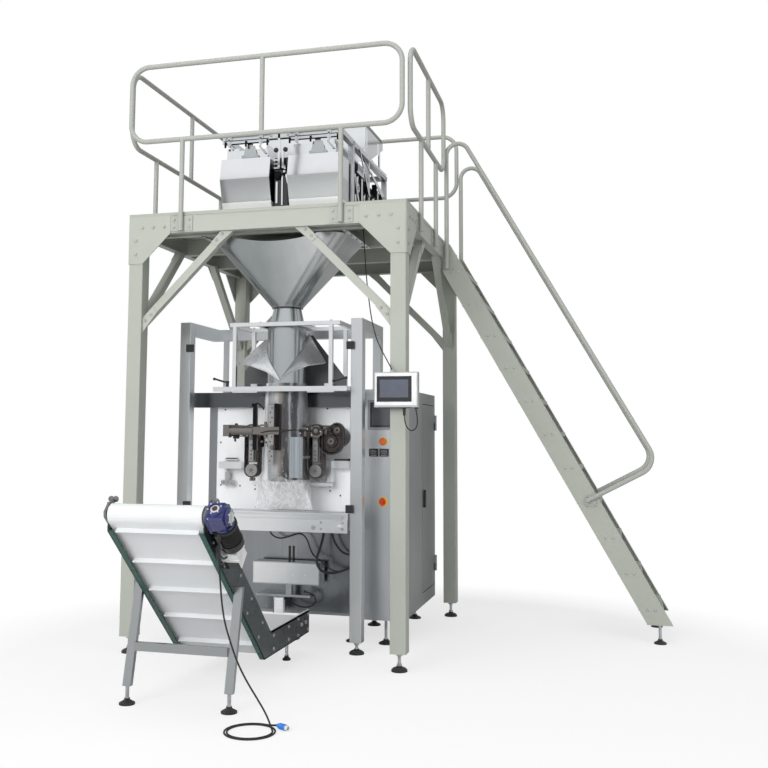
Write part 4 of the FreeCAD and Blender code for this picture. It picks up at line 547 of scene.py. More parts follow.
def lamp(name, place, target, size, power):
    data = bpy.data.lights.new(name, "AREA")
    data.shape = "SQUARE"
    data.size = size
    data.energy = power
    obj = bpy.data.objects.new(name, data)
    obj.visible_glossy = False
    bpy.context.scene.collection.objects.link(obj)
    obj.location = place
    obj.rotation_mode = "QUATERNION"
    obj.rotation_quaternion = (Vector(target) - Vector(place)).to_track_quat("-Z", "Y")


make_stage()
make_world()
bpy.context.scene.view_settings.view_transform = "Standard"
lamp("key", (-3.0, -9.0, 4.2), (0, 0, 1.5), 5.0, 520)
lamp("fill", (6.5, -5.0, 3.5), (0, 0, 1.6), 4.0, 110)
lamp("top", (-1.0, -2.0, 9.0), (0, 0, 2.0), 4.0, 140)


# Mesh helpers
class Part:
    """Collects several small forms in one mesh, then becomes one object that rides on a body."""

    def __init__(self, name, look, slot, body="root"):
        self.name, self.look, self.slot, self.body = name, look, slot, body
        self.bm = bmesh.new()

    def _bevel(self, verts, width, segments=2):
        if width <= 0:
            return
        edges = {e for v in verts for e in v.link_edges}
        sharp = [e for e in edges if len(e.link_faces) == 2 and e.calc_face_angle(0) > 0.5]
        bmesh.ops.bevel(self.bm, geom=sharp, offset=width / 1000, segments=segments, profile=0.6,
                        affect="EDGES", clamp_overlap=True)

    def box(self, x0, x1, y0, y1, z0, z1, bevel=1.0):
        verts = [self.bm.verts.new(P(x, y, z)) for x in (x0, x1) for y in (y0, y1) for z in (z0, z1)]
        for f in ((0, 1, 3, 2), (4, 6, 7, 5), (0, 4, 5, 1), (2, 3, 7, 6), (0, 2, 6, 4), (1, 5, 7, 3)):
            self.bm.faces.new([verts[i] for i in f])
        self._bevel(verts, bevel)

    def prism(self, points, along, bevel=0.8):
        """Closed outline of model points, pushed along a model vector."""
        step = Vector(along) / 1000
        low = [self.bm.verts.new(P(*p)) for p in points]
        high = [self.bm.verts.new(v.co + step) for v in low]
        n = len(points)
        self.bm.faces.new(low[::-1])
        self.bm.faces.new(high)
        for i in range(n):
            j = (i + 1) % n
            self.bm.faces.new((low[i], low[j], high[j], high[i]))
        self._bevel(low + high, bevel, 1)

    def _ring(self, centre, u, w, radius, sides):
        ring = []
        for k in range(sides):
            t = 2 * math.pi * k / sides
            spoke = u * math.cos(t) + w * math.sin(t)
            ring.append(self.bm.verts.new(centre + spoke * (radius / 1000)))
        return ring

    def turn(self, start, axis, outline, sides=32):
        """Turned form: outline of (along, radius) pairs about an axis from a model point."""
        a = Vector(axis).normalized()
        u = a.orthogonal().normalized()
        w = a.cross(u)
        origin = P(*start)
        rings = []
        for along, radius in outline:
            centre = origin + a * (along / 1000)
            if radius < 1e-6:
                rings.append([self.bm.verts.new(centre)])
            else:
                rings.append(self._ring(centre, u, w, radius, sides))
        for r0, r1 in zip(rings, rings[1:]):
            for k in range(sides):
                m = (k + 1) % sides
                quad = [r0[k % len(r0)], r0[m % len(r0)], r1[m % len(r1)], r1[k % len(r1)]]
                face = []
                for v in quad:
                    if v not in face:
                        face.append(v)
                if len(face) > 2:
                    self.bm.faces.new(face)
        if len(rings[0]) > 2:
            self.bm.faces.new(rings[0][::-1])
        if len(rings[-1]) > 2:
            self.bm.faces.new(rings[-1])

    def bolt(self, place, axis, head=9.0, high=6.0, washer=12.0):
        """Hexagon head on a washer, standing on a face."""
        self.turn(place, axis, [(0, washer), (1.6, washer), (2.0, washer - 0.6)], 20)
        start = Vector(place) + Vector(axis).normalized() * 2.0
        self.turn(tuple(start), axis, [(0, head), (high * 0.8, head), (high, head * 0.86), (high, 0.0)], 6)

    def screw(self, place, axis, radius=4.0, high=2.4):
        """Button head with a socket."""
        self.turn(place, axis, [(0, radius), (high * 0.5, radius), (high * 0.9, radius * 0.75),
                                (high, radius * 0.45), (high * 0.5, radius * 0.4), (high * 0.5, 0)], 16)

    def tube(self, points, radius, sides=12):
        """Round tube through model points, smoothly bent."""
        pts = smooth_path([P(*p) for p in points])
        rings = []
        last = None
        for i, p in enumerate(pts):
            d = (pts[min(i + 1, len(pts) - 1)] - pts[max(i - 1, 0)]).normalized()
            if last is None:
                u = d.orthogonal().normalized()
            else:
                u = (last - d * last.dot(d)).normalized()
            last = u
            rings.append(self._ring(p, u, d.cross(u), radius, sides))
        for r0, r1 in zip(rings, rings[1:]):
            for k in range(sides):
                m = (k + 1) % sides
                self.bm.faces.new((r0[k], r0[m], r1[m], r1[k]))
        self.bm.faces.new(rings[0][::-1])
        self.bm.faces.new(rings[-1])

    def close_band(self, rows):
        """Faces of a closed belt from its rows of four corners."""
        for i, a in enumerate(rows):
            b = rows[(i + 1) % len(rows)]
            for p, q in ((0, 1), (3, 2), (2, 0), (1, 3)):
                self.bm.faces.new((a[p], a[q], b[q], b[p]))

    def loop_band(self, cx, low, high, radius, y0, y1, thick, teeth, pitch):
        """Closed upright belt round two pulleys, seen along Y, with teeth inside."""
        straight = high - low
        half_turn = math.pi * radius
        length = 2 * straight + 2 * half_turn
        count = int(length / (pitch / 4))
        rows = []
        for i in range(count):
            s = length * i / count
            if s < straight:
                level, angle = low + s, 0.0
            elif s < straight + half_turn:
                level, angle = high, (s - straight) / radius
            elif s < 2 * straight + half_turn:
                level, angle = high - (s - straight - half_turn), math.pi
            else:
                level, angle = low, math.pi + (s - 2 * straight - half_turn) / radius
            inner = thick + (teeth if (i // 2) % 2 else 0.0)
            row = []
            for r in (radius, radius - inner):
                for y in (y0, y1):
                    row.append(self.bm.verts.new(P(cx + r * math.cos(angle), y, level + r * math.sin(angle))))
            rows.append(row)
        self.close_band(rows)

    def done(self, smooth=35):
        bmesh.ops.recalc_face_normals(self.bm, faces=self.bm.faces)
        mesh = bpy.data.meshes.new(self.name)
        self.bm.to_mesh(mesh)
        self.bm.free()
        mesh.materials.append(M[self.look])
        obj = bpy.data.objects.new(self.name, mesh)
        bpy.context.scene.collection.objects.link(obj)
        for p in mesh.polygons:
            p.use_smooth = True
        mesh.set_sharp_from_angle(angle=math.radians(smooth))
        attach(obj, self.body)
        return obj


def smooth_path(points, per=6):
    """Points along a Catmull-Rom curve through the given ones."""
    if len(points) < 3:
        return points
    out = []
    n = len(points)
    for i in range(n - 1):
        p0, p1, p2, p3 = points[max(i - 1, 0)], points[i], points[i + 1], points[min(i + 2, n - 1)]
        for k in range(per):
            t = k / per
            out.append(0.5 * ((2 * p1) + (p2 - p0) * t + (2 * p0 - 5 * p1 + 4 * p2 - p3) * t * t
                              + (3 * p1 - p0 - 3 * p2 + p3) * t ** 3))
    out.append(points[-1])
    return out


SOFT_EDGES = (
    (0.8, ("column_gussets",)),
    (1.0, ("stair_treads",)),
    (1.2, ("stair_stringers",)),
    (1.5, ("weigher_covers", "weigher_frame", "weigher_body", "infeed_hopper", "former_frame", "former_table",
           "front_panel", "cabinet_door", "bag_support", "front_jaw", "rear_jaw", "deck_plate")),
    (2.0, ("machine_top_frame", "front_fascia", "platform_beams")),
    (2.5, ("machine_body", "platform_braces")),
)


def soften_cad(name, width):
    """A small rounded edge on a CAD node, as a modifier."""
    mod = NODES[name].modifiers.new("edge", "BEVEL")
    mod.width = width / 1000
    mod.segments = 2
    mod.limit_method = "ANGLE"
    mod.angle_limit = math.radians(30)
    mod.harden_normals = False


for edge_width, node_names in SOFT_EDGES:
    for node_name in node_names:
        soften_cad(node_name, edge_width)


# Platform details
PLAT_W, PLAT_D, COLUMN = 1900.0, 1970.0, 100.0
BEAM_TOP, BEAM_BASE, DECK_TOP = 2863.0, 2748.0, 2885.0
BEAM_OUT = 6
BRACE_REACH, BRACE_HALF, CLEAT_T = 590.0, 25, 5


def lengthwise(a, b, z):
    return (a, b, z)


def crosswise(a, b, z):
    return (b, a, z)


# length along a pair of faces, distance between them, and how (along, across, height) is turned to suit
PLATFORM_SIDES = ((PLAT_W, PLAT_D, lengthwise), (PLAT_D, PLAT_W, crosswise))


def platform_bolts():
    p = Part("platform_bolts", "frame", "frame_paint")
    spots = [(a, BEAM_TOP - 72) for a in (95, 175, 255)] + [(50, BEAM_TOP - 160), (50, BEAM_TOP - 250)]
    for long, wide, place in PLATFORM_SIDES:
        for sign, edge in ((1, 0.0), (-1, long)):
            for a, z in spots:
                p.bolt(place(edge + sign * a, -BEAM_OUT, z), place(*FRONT))
                p.bolt(place(edge + sign * a, wide + BEAM_OUT, z), place(*BACK))
    p.done()


def rail_bolts():
    p = Part("rail_plate_bolts", "rail", "rail_paint")
    faces = (((380.0, 1480.0), -BEAM_OUT, lengthwise, -1),
             ((380.0, 1480.0), PLAT_D + BEAM_OUT, lengthwise, 1),
             ((400.0, 1570.0), -BEAM_OUT, crosswise, -1),
             ((382.0, 920.0), PLAT_W + BEAM_OUT, crosswise, 1))
    for posts, face, place, out in faces:
        for post in posts:
            for dz in (26, 76):
                for da in (-55, 55):
                    p.bolt(place(post + da, face, BEAM_BASE + 8 + dz), place(0, out, 0), 7.5, 5, 10)
    p.done()


def brace_plates():
    """Cleats with two bolts at both ends of each diagonal brace."""
    p = Part("brace_cleats", "frame", "frame_paint")
    b = Part("brace_bolts", "zinc", "frame_paint")
    foot = BEAM_BASE - BRACE_REACH
    for long, wide, place in PLATFORM_SIDES:
        for middle, out in ((COLUMN / 2, -1), (wide - COLUMN / 2, 1)):
            face = middle + out * BRACE_HALF
            for sign, a in ((1, COLUMN), (-1, long - COLUMN)):
                head = a + sign * BRACE_REACH
                foot_cleat = [(a, foot - 70), (a, foot + 20), (a + sign * 75, foot + 95),
                              (a + sign * 100, foot + 60)]
                head_cleat = [(head + sign * 50, BEAM_BASE), (head - sign * 40, BEAM_BASE),
                              (head - sign * 105, BEAM_BASE - 68), (head - sign * 68, BEAM_BASE - 100)]
                for outline in (foot_cleat, head_cleat):
                    p.prism([place(u, face, z) for u, z in outline], place(0, out * CLEAT_T, 0))
                spots = [(a + sign * d, foot + d - 12) for d in (22, 62)]
                spots += [(head - sign * (d + 8), BEAM_BASE - d) for d in (20, 60)]
                for u, z in spots:
                    b.bolt(place(u, face + out * CLEAT_T, z), place(0, out, 0), 7, 5, 10)
    p.done()
    b.done()


LOCK_NUT = [(0, 19), (1.5, 21), (14, 21), (16, 19)]
STEM_NUT = [(0, 15), (1, 17), (9, 17), (10, 15)]
SKIRT = [(0, 49.4), (2, 46), (4, 47), (6, 42), (8, 43), (10, 37), (12, 38), (14, 33), (14, 20)]
LOW_SKIRT = SKIRT[:5] + SKIRT[7:]


def column_feet():
    """Base plate, lock nuts and a ribbed skirt on each levelling foot."""
    plates = Part("column_base_plates", "frame", "frame_paint")
    nuts = Part("foot_lock_nuts", "zinc", "black_feet")
    skirts = Part("foot_skirts", "rubber", "black_feet")
    for x in (50, PLAT_W - 50):
        for y in (50, PLAT_D - 50):
            plates.box(x - 50, x + 50, y - 50, y + 50, 108, 110, 0.6)
            nuts.turn((x, y, 92), UP, LOCK_NUT, 6)
            nuts.turn((x, y, 36), UP, STEM_NUT, 6)
            skirts.turn((x, y, 8.8), UP, SKIRT, 40)
    for x in (244, 1483):
        nuts.turn((x, 425, 60), UP, LOCK_NUT, 6)
        skirts.turn((x, 425, 8.8), UP, LOW_SKIRT, 40)
    plates.done()
    nuts.done()
    skirts.done()


STAIR_FRONT, STAIR_BACK, TILT = 1300.0, 1955.0, math.radians(60.6)
TOE_X, TOE_Z, WIDE = 3486.0, 130.0, 148.0
RISES = 12
STUD = [(0, 9.5), (1.6, 8.2), (2.6, 6.0), (1.4, 4.6), (1.4, 0)]


def stringer_mid(z):
    level = WIDE / math.sin(TILT)
    return TOE_X - (z - TOE_Z) / math.tan(TILT) - level / 2


def stair_details():
    bolts = Part("tread_bolts", "zinc", "frame_paint")
    nosing = Part("tread_grip_bars", "tread", "frame_paint")
    rise = DECK_TOP / RISES
    for i in range(1, RISES):
        top = DECK_TOP - i * rise
        x = stringer_mid(top - 14)
        for dx in (-26, 26):
            bolts.bolt((x + dx, STAIR_FRONT, top - 14), FRONT, 6.5, 4.5, 9)
            bolts.bolt((x + dx, STAIR_BACK, top - 14), BACK, 6.5, 4.5, 9)
        for k in range(7):
            for j in range(14):
                nosing.turn((x - 72 + k * 24, STAIR_FRONT + 60 + j * 41, top - 0.4), UP, STUD, 10)
    bolts.done()
    nosing.done()
    plates = Part("handrail_plate_bolts", "rail", "rail_paint")
    for y, out in ((STAIR_FRONT, -1), (STAIR_BACK, 1)):
        for x, z in ((1947, 2693), (2955, 960)):
            for dx in (-28, 28):
                for dz in (-28, 28):
                    plates.bolt((x + dx, y + out * 6, z + dz), (0, out, 0), 5.5, 4, 8)
    plates.done()


platform_bolts()
rail_bolts()
brace_plates()
column_feet()
stair_details()


# Cords
def spline(name, points, radius, look):
    data = bpy.data.curves.new(name, "CURVE")
    data.dimensions = "3D"
    data.bevel_depth = radius
    data.bevel_resolution = 5
    data.resolution_u = 10
    line = data.splines.new("NURBS")
    line.points.add(len(points) - 1)
    for slot_point, p in zip(line.points, points):
        slot_point.co = (*p, 1)
    line.order_u = 3
    line.use_endpoint_u = True
    data.materials.append(M[look])
    obj = bpy.data.objects.new(name, data)
    bpy.context.scene.collection.objects.link(obj)
    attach(obj, "root")
    return obj


TOP_GLAND = (1822.0, -37.0, 1813.0)
LEAD_DROP = [(-282, 337, 1050), (-274, 337, 952), (-265, 327, 852), (-253, 307, 752), (-238, 275, 655),
             (-220, 237, 559), (-200, 202, 465), (-179, 167, 373), (-154, 132, 285), (-122, 95, 200),
             (-78, 51, 123), (-33, 13, 57), (0, 0, 0)]
LOOP_START = (1898.0, -37.0, 1570.0)
LOOP = [(0, 0, 0), (1, 0, -48), (9, -1, -98), (38, -3, -130), (70, -3, -120), (86, -1, -80), (74, 0, 0)]


def weigher_leads():
    down = [P(TOP_GLAND[0] + a, TOP_GLAND[1] + b, TOP_GLAND[2] + c) for a, b, c in LEAD_DROP]
    a = spline("weigher_lead", down, 0.0035, "cable")
    low = [P(LOOP_START[0] + x, LOOP_START[1] + y, LOOP_START[2] + z) for x, y, z in LOOP]
    b = spline("screen_loop_lead", low, 0.0035, "cable")
    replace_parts(a, "weigher_cables")
    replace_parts(b, "weigher_cables")


COIL_X, COIL_Y, COIL_START, COIL_SWEEP, COIL_STEPS = 1428.0, -1325.0, 40.0, 698.0, 24


def coil_points():
    out = []
    for i in range(COIL_STEPS + 1):
        share = i / COIL_STEPS
        a = math.radians(COIL_START - COIL_SWEEP * share)
        r = 108.0 + 26.0 * share
        out.append((COIL_X + r * math.cos(a), COIL_Y + r * math.sin(a), 4.5))
    return out


def coil_exit():
    a = math.radians(COIL_START - COIL_SWEEP)
    return Vector((math.sin(a), -math.cos(a), 0))


CORD_DROP = [(1244, -1312, 889), (1245, -1313, 790), (1254, -1310, 690), (1262, -1306, 590),
             (1276, -1299, 500), (1300, -1289, 415), (1334, -1274, 310), (1378, -1256, 218),
             (1430, -1236, 130), (1466, -1222, 66), (1494, -1233, 20)]


def conveyor_lead():
    coil = coil_points()
    end = Vector(coil[-1]) + coil_exit() * 42.0
    end.z = 15.0
    pts = [P(*p) for p in CORD_DROP + coil] + [P(*end)]
    obj = spline("conveyor_lead", pts, 0.0045, "cable")
    plug = plug_piece(end)
    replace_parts(obj, "conveyor_cord")


def plug_piece(end):
    """Ribbed round plug at the end of the lead, with its cap."""
    d = coil_exit()
    p = Part("lead_plug", "plug_blue", "blue_plastic")
    p.turn(tuple(end), d, [(0, 6.0), (3, 8.5), (8, 9.5), (16, 12.5), (22, 14.8), (30, 14.8), (32, 13.4),
                           (34, 14.8), (38, 14.8), (40, 13.4), (42, 14.8), (61, 14.8), (62, 14.0),
                           (62, 0)], 28)
    obj = p.done()
    cap = Part("lead_plug_cap", "pale", "blue_plastic")
    start = end + d * 62.0
    cap.turn(tuple(start), d, [(0, 11.6), (2, 12.0), (12, 12.0), (15.6, 10.5), (15.6, 8.4), (6, 8.0), (6, 0)],
             28)
    cap.done()
    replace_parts(obj, "cord_plug")
    return obj


weigher_leads()
conveyor_lead()

# Weigher
COVER_X = (696.0, 1188.0)


def weigher_details():
    latch = Part("cover_latches", "satin", "mirror_steel")
    clips = Part("cover_hanger_clips", "brush_z", "brushed_steel")
    dark = Part("cover_knobs", "gloss_black", "black_plastic")
    plates = Part("cover_back_plates", "mirror", "mirror_steel")
    edge = Part("cover_folded_edges", "mirror", "mirror_steel")
    for x in COVER_X:
        plates.box(x - 150, x - 60, 352, 356, 3320, 3402, 0.5)
        plates.box(x - 60, x + 150, 352, 356, 3320, 3384, 0.5)
        cx = x + 26
        latch.prism([(cx - 50, 340, 3343), (cx + 50, 340, 3343), (cx + 34, 340, 3410), (cx - 34, 340, 3410)],
                    (0, 5, 0))
        latch.box(cx - 62, cx + 62, 334, 346, 3326, 3344, 1.5)
        latch.box(cx - 20, cx + 20, 336, 344, 3408, 3424, 1.2)
        for dx in (-46, 46):
            latch.screw((cx + dx, 334, 3335), FRONT, 4.5)
        # bent arm beside the latch
        arm = ((60, 3408), (76, 3408), (118, 3352), (102, 3352))
        latch.prism([(cx + dx, 338, z) for dx, z in arm], (0, 4, 0))
        # hanger clips on the upper rail
        for dx in (-120, 112):
            clips.box(x + dx - 14, x + dx + 14, 316, 330, 3418, 3478, 2)
            clips.box(x + dx - 5, x + dx + 5, 308, 318, 3400, 3470, 1.5)
            dark.turn((x + dx, 307, 3452), FRONT, [(0, 6), (3, 6), (5, 4.5), (5, 0)], 16)
        # narrow rail that carries the cover
        clips.box(x - 172, x + 172, 318, 326, 3428, 3446, 1.5)
        edge.box(x - 181, x + 181, 358, 364, 2966, 2975, 1)
    for x, z in ((916, 3364), (984, 3364), (1380, 3370)):
        dark.turn((x, 344, z), FRONT, [(0, 12), (4, 14), (10, 17), (16, 17.5), (21, 15), (23, 9),
                                       (23, 0)], 28)
    latch.done()
    clips.done()
    dark.done()
    plates.done()
    edge.done()


def weigher_gap():
    """Bars, tubes and brackets seen in the dark gap between the covers."""
    bright = Part("gap_bars", "mirror", "mirror_steel")
    dark = Part("gap_blocks", "void", "black_plastic")
    bright.box(928, 944, 330, 344, 3240, 3486, 1.5)
    bright.box(955, 968, 340, 352, 3238, 3360, 1.5)
    for z in (3296, 3268, 3240):
        bright.box(893, 936, 352, 360, z, z + 10, 1)
    bright.box(905, 918, 362, 372, 3000, 3150, 1)
    bright.box(946, 956, 362, 372, 2985, 3190, 1)
    bright.prism([(962, 350, 3262), (975, 350, 3262), (1000, 350, 3130), (992, 350, 3130)], (0, 6, 0))
    dark.box(900, 934, 350, 372, 3168, 3220, 3)
    dark.box(958, 984, 346, 372, 3196, 3232, 3)
    dark.turn((930, 352, 3196), FRONT, [(0, 16), (6, 16), (8, 13), (8, 0)], 24)
    bright.turn((972, 346, 3214), FRONT, [(0, 9), (4, 9), (5, 7), (5, 0)], 20)
    bright.done()
    dark.done()


def weigher_side():
    """Right side: side plates, strut, swing arms and drive blocks between the uprights."""
    bright = Part("side_struts", "mirror", "mirror_steel")
    dark = Part("side_drive_blocks", "void", "black_plastic")
    for x0, x1, out in ((1392, 1398, 1), (514, 520, -1)):
        f = x1 if out > 0 else x0
        # flat strip on the upper rail, long diagonal and its strut
        bright.prism([(x0, 745, 3460), (x0, 790, 3446), (x0, 1590, 3470), (x0, 1590, 3494)], (6, 0, 0))
        bright.prism([(x0, 770, 3452), (x0, 800, 3448), (x0, 1066, 3178), (x0, 1036, 3178)], (6, 0, 0))
        bright.prism([(x0, 800, 3438), (x0, 868, 3424), (x0, 1490, 3258), (x0, 1490, 3312)], (6, 0, 0))
        for y, z in ((776, 3446), (1052, 3190), (1480, 3284), (1100, 3370)):
            bright.bolt((f, y, z), (out, 0, 0), 8, 5, 12)
    for x0, x1 in ((1354, 1386), (526, 558)):
        dark.box(x0, x1, 640, 700, 3000, 3280, 6)
        dark.box(x0, x1, 720, 830, 3120, 3240, 8)
        dark.box(x0, x1, 900, 990, 3010, 3190, 8)
        dark.box(x0, x1, 1120, 1300, 3030, 3230, 10)
        dark.box(x0, x1, 1380, 1500, 3060, 3290, 8)
        bright.box(x0 + 4, x1 + 2, 846, 886, 3030, 3270, 4)
        bright.box(x0 + 4, x1 + 2, 1330, 1362, 2990, 3300, 4)
        bright.prism([(x0 + 8, 1010, 3290), (x0 + 8, 1034, 3290), (x0 + 8, 1110, 3060), (x0 + 8, 1086, 3060)],
                     (24, 0, 0))
        bright.prism([(x0 + 10, 655, 3252), (x0 + 10, 690, 3266), (x0 + 10, 820, 3060), (x0 + 10, 790, 3040)],
                     (22, 0, 0))
        out = 1 if x0 > 900 else -1
        face = x1 if out > 0 else x0
        for y, z, r in ((775, 3180, 34), (1210, 3130, 52), (1440, 3170, 40)):
            bright.turn((face - out * 6, y, z), (out, 0, 0),
                        [(0, r), (5, r), (7, r - 3), (7, r * 0.5), (4, r * 0.42), (4, 6), (8, 5), (8, 0)], 28)
    bright.done()
    dark.done()
    strip = Part("hopper_edge_trim", "dark_steel", "mirror_steel")
    for x in (560, 1350):
        strip.prism([(x, 1100, 3755), (x, 1120, 3772), (x, 1600, 3786), (x, 1640, 3770), (x, 1600, 3762),
                     (x, 1130, 3748)], (2, 0, 0), 0)
    strip.done()


def feeder_details():
    """Springs under the pans and bolts on the weigher frame."""
    p = Part("pan_leaf_springs", "chrome", "mirror_steel")
    for x in COVER_X:
        for y in (892, 1072):
            for dx in (-58, 58):
                p.box(x + dx - 4, x + dx + 4, y - 3, y + 3, 3300, 3352, 0.6)
        p.box(x - 100, x + 100, 976, 994, 3343, 3352, 1.5)
    p.done()
    b = Part("weigher_frame_bolts", "zinc", "brushed_steel")
    for x, out in ((520, -1), (1392, 1)):
        for y in (619, 1059, 1611):
            for z in (2905, 3005, 3455, 3472):
                b.bolt((x, y, z), (out, 0, 0), 7, 4.5, 10)
    for x in (545, 1366, 880, 1000):
        b.bolt((x, 330, 3467), FRONT, 6.5, 4, 9)
    b.done()
    plates = Part("weigher_foot_plates", "brush_z", "brushed_steel")
    for x in (520, 1354):
        for y in (600, 1040, 1592):
            plates.box(x - 30, x + 68, y - 30, y + 68, 2885, 2893, 1.5)
    plates.done()


weigher_details()
weigher_gap()
weigher_side()
feeder_details()
# Funnel and former
AXIS_X, AXIS_Y = 962.0, 480.0


def former_details():
    lever = Part("clamp_levers", "gloss_black", "black_plastic")
    for x, s in ((588, -1), (1330, 1)):
        lever.turn((x, 330, 1735), UP, [(0, 13), (4, 13), (6, 10), (26, 10), (30, 12), (38, 12), (42, 8),
                                        (42, 0)], 20)
        reach = ((0, 1768), (28, 1772), (62, 1782), (96, 1792))
        lever.tube([(x + s * dx, 330, z) for dx, z in reach], 6.5)
        lever.turn((x + s * 90, 330, 1790), (s, 0, 0.12), [(0, 7), (3, 9.5), (12, 9.5), (16, 6), (16, 0)], 16)
    lever.done()
    bolts = Part("former_bolts", "zinc", "brushed_steel")
    for x in (650, 1330):
        for y in (303, 657):
            bolts.bolt((x, y, 2168), UP, 8, 5, 11)
    for x in (821, 1103):
        for y in (330, 630):
            bolts.bolt((x, y, 2168), UP, 8, 6, 11)
    bolts.done()
    lip = Part("former_table_lips", "brush_x", "brushed_steel")
    lip.box(500, 1443, 286, 290, 1702, 1735, 1)
    lip.box(636, 816, 296, 300, 1694, 1709, 1)
    lip.box(1168, 1352, 296, 300, 1694, 1709, 1)
    for x in (640, 800, 1175, 1340):
        lip.box(x - 3, x + 3, 300, 340, 1697, 1709, 0.5)
    lip.turn((AXIS_X, AXIS_Y, 1735), UP, [(0, 190), (3, 190), (4, 188), (4, 173), (0, 172)], 72)
    lip.done()
    rods = Part("former_slide_blocks", "cast", "aluminium")
    for x in (690, 1230):
        rods.box(x - 24, x + 24, 560, 610, 1735, 1768, 3)
        rods.screw((x - 14, 560, 1752), FRONT, 5)
        rods.screw((x + 14, 560, 1752), FRONT, 5)
    rods.done()


def funnel_joints():
    """Ring at the funnel's throat, black as a painted shadow line, and the bolts of its flange."""
    # The ring closes the gap between funnel and spout; its black is a painted shadow line.
    seam = Part("funnel_throat_ring_painted_shadow", "gloss_black", "satin_steel")
    seam.turn((AXIS_X, AXIS_Y, 2279), UP, [(0, 95), (0, 108.4), (6, 108.4), (6, 95)], 64)
    seam.done()
    bolts = Part("funnel_flange_bolts", "zinc", "satin_steel")
    for y in (200, 330, 480, 620, 750):
        bolts.bolt((AXIS_X - 495, y, 2741.8), DOWN, 7, 5, 10)
        bolts.bolt((AXIS_X + 495, y, 2741.8), DOWN, 7, 5, 10)
    for x in (620, 800, 962, 1130, 1310):
        bolts.bolt((x, 796, 2741.8), DOWN, 7, 5, 10)
    bolts.done()


former_details()
funnel_joints()

# Film pulling and sealing
BELT_X = (724.0, 1184.0)
BELT_LOW, BELT_HIGH, BELT_OUTER = 1173.0, 1436.0, 50.0


def belt_units():
    band = Part("toothed_pull_belts", "belt_brown", "dark_rubber")
    inner = Part("belt_backing_plates", "worn_bracket", "aluminium")
    wheel = Part("belt_pulleys", "pulley", "aluminium")
    knob = Part("belt_hubs", "pulley", "mirror_steel")
    for x, side in zip(BELT_X, (-1, 1)):
        band.loop_band(x, BELT_LOW, BELT_HIGH, BELT_OUTER, 441, 519, 4.0, 2.6, 12.0)
        inner.box(x - 26, x + 26, 460, 508, BELT_LOW + 50, BELT_HIGH, 4)
        knob.box(x - 15, x + 17, 440, 452, BELT_LOW + 64, BELT_HIGH - 60, 5)
        for z in (BELT_LOW + 80, BELT_LOW + 106, BELT_LOW + 132, BELT_LOW + 170):
            inner.turn((x + 1, 440, z), FRONT, [(0, 7), (4, 7), (5, 5), (5, 3), (3, 2), (3, 0)], 18)
        for z in (BELT_LOW, BELT_HIGH):
            wheel.turn((x, 442, z), BACK, [(0, 0), (0, 12), (2, 14), (2, 28), (5, 31), (5, 41), (0, 43),
                                              (76, 43), (76, 0)], 48)
            inner.turn((x, 442, z), FRONT, [(0, 14), (2, 14), (3, 12), (3, 7), (8, 6), (8, 0)], 24)
            for k in range(6):
                a = k * math.pi / 3
                inner.screw((x + 22 * math.cos(a), 441.8, z + 22 * math.sin(a)), FRONT, 3.4, 1.6)
        inner.box(x - 12, x + 12, 452, 500, BELT_LOW - 74, BELT_LOW - 52, 4)
        inner.turn((x, 446, BELT_LOW - 64), FRONT, [(0, 8), (10, 8), (12, 6), (12, 0)], 16)
    for p in (band, inner, wheel, knob):
        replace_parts(p.done(), "pull_belts")


def drive_rods():
    """The bar, clamps and screws that carry the two belt units."""
    bar = Part("belt_carrier_bars", "mech", "aluminium")
    dark = Part("carrier_clamps", "mech_dark", "aluminium")
    bright = Part("carrier_bolts", "cast", "aluminium")
    dark.turn((574, 416, 1412), RIGHT, [(0, 9), (2, 11), (80, 11), (80, 0)], 20)
    bar.turn((600, 416, 1446), RIGHT, [(0, 7), (640, 7), (640, 0)], 16)
    bar.turn((600, 416, 1416), RIGHT, [(0, 8), (640, 8), (640, 0)], 16)
    dark.box(571, 584, 402, 430, 1394, 1430, 3)
    dark.box(606, 640, 400, 432, 1386, 1462, 3)
    dark.box(616, 630, 404, 428, 1460, 1490, 3)
    dark.box(612, 622, 408, 420, 1366, 1388, 2)
    bar.box(652, 716, 402, 434, 1398, 1464, 4)
    dark.turn((688, 400, 1430), FRONT, [(0, 25), (3, 25), (5, 22), (5, 12), (2, 10), (2, 0)], 32)
    bar.box(722, 792, 406, 430, 1400, 1460, 4)
    dark.box(738, 752, 400, 408, 1404, 1456, 2)
    dark.box(770, 786, 396, 408, 1394, 1470, 3)
    bar.box(820, 900, 410, 428, 1402, 1432, 3)
    bar.box(980, 1040, 408, 428, 1404, 1440, 3)
    for x in (660, 672, 708, 732, 762, 780):
        for z in (1408, 1454):
            bright.screw((x, 401, z), FRONT, 4.5)
    bar.prism([(1000, 406, 1436), (1000, 406, 1414), (1120, 406, 1404), (1216, 406, 1396), (1246, 406, 1428),
               (1224, 406, 1462), (1150, 406, 1470)], (0, 22, 0), 2)
    dark.box(1060, 1112, 400, 410, 1408, 1452, 3)
    dark.box(1132, 1160, 398, 408, 1396, 1476, 4)
    dark.tube([(985, 398, 1424), (1060, 394, 1440), (1130, 394, 1444), (1205, 400, 1432)], 6)
    dark.tube([(838, 286, 1420), (900, 280, 1436), (985, 284, 1440), (1090, 330, 1446)], 5)
    dark.turn((1200, 404, 1440), FRONT, [(0, 31), (4, 31), (7, 27), (7, 14), (3, 12), (3, 0)], 36)
    bar.turn((1200, 398, 1440), FRONT, [(0, 15), (5, 15), (6, 12), (6, 0)], 24)
    for x, z in ((1020, 1424), (1046, 1426), (1090, 1424), (1140, 1452), (1170, 1414), (1232, 1436)):
        bright.screw((x, 398, z), FRONT, 5)
    for p in (bar, dark, bright):
        p.done()


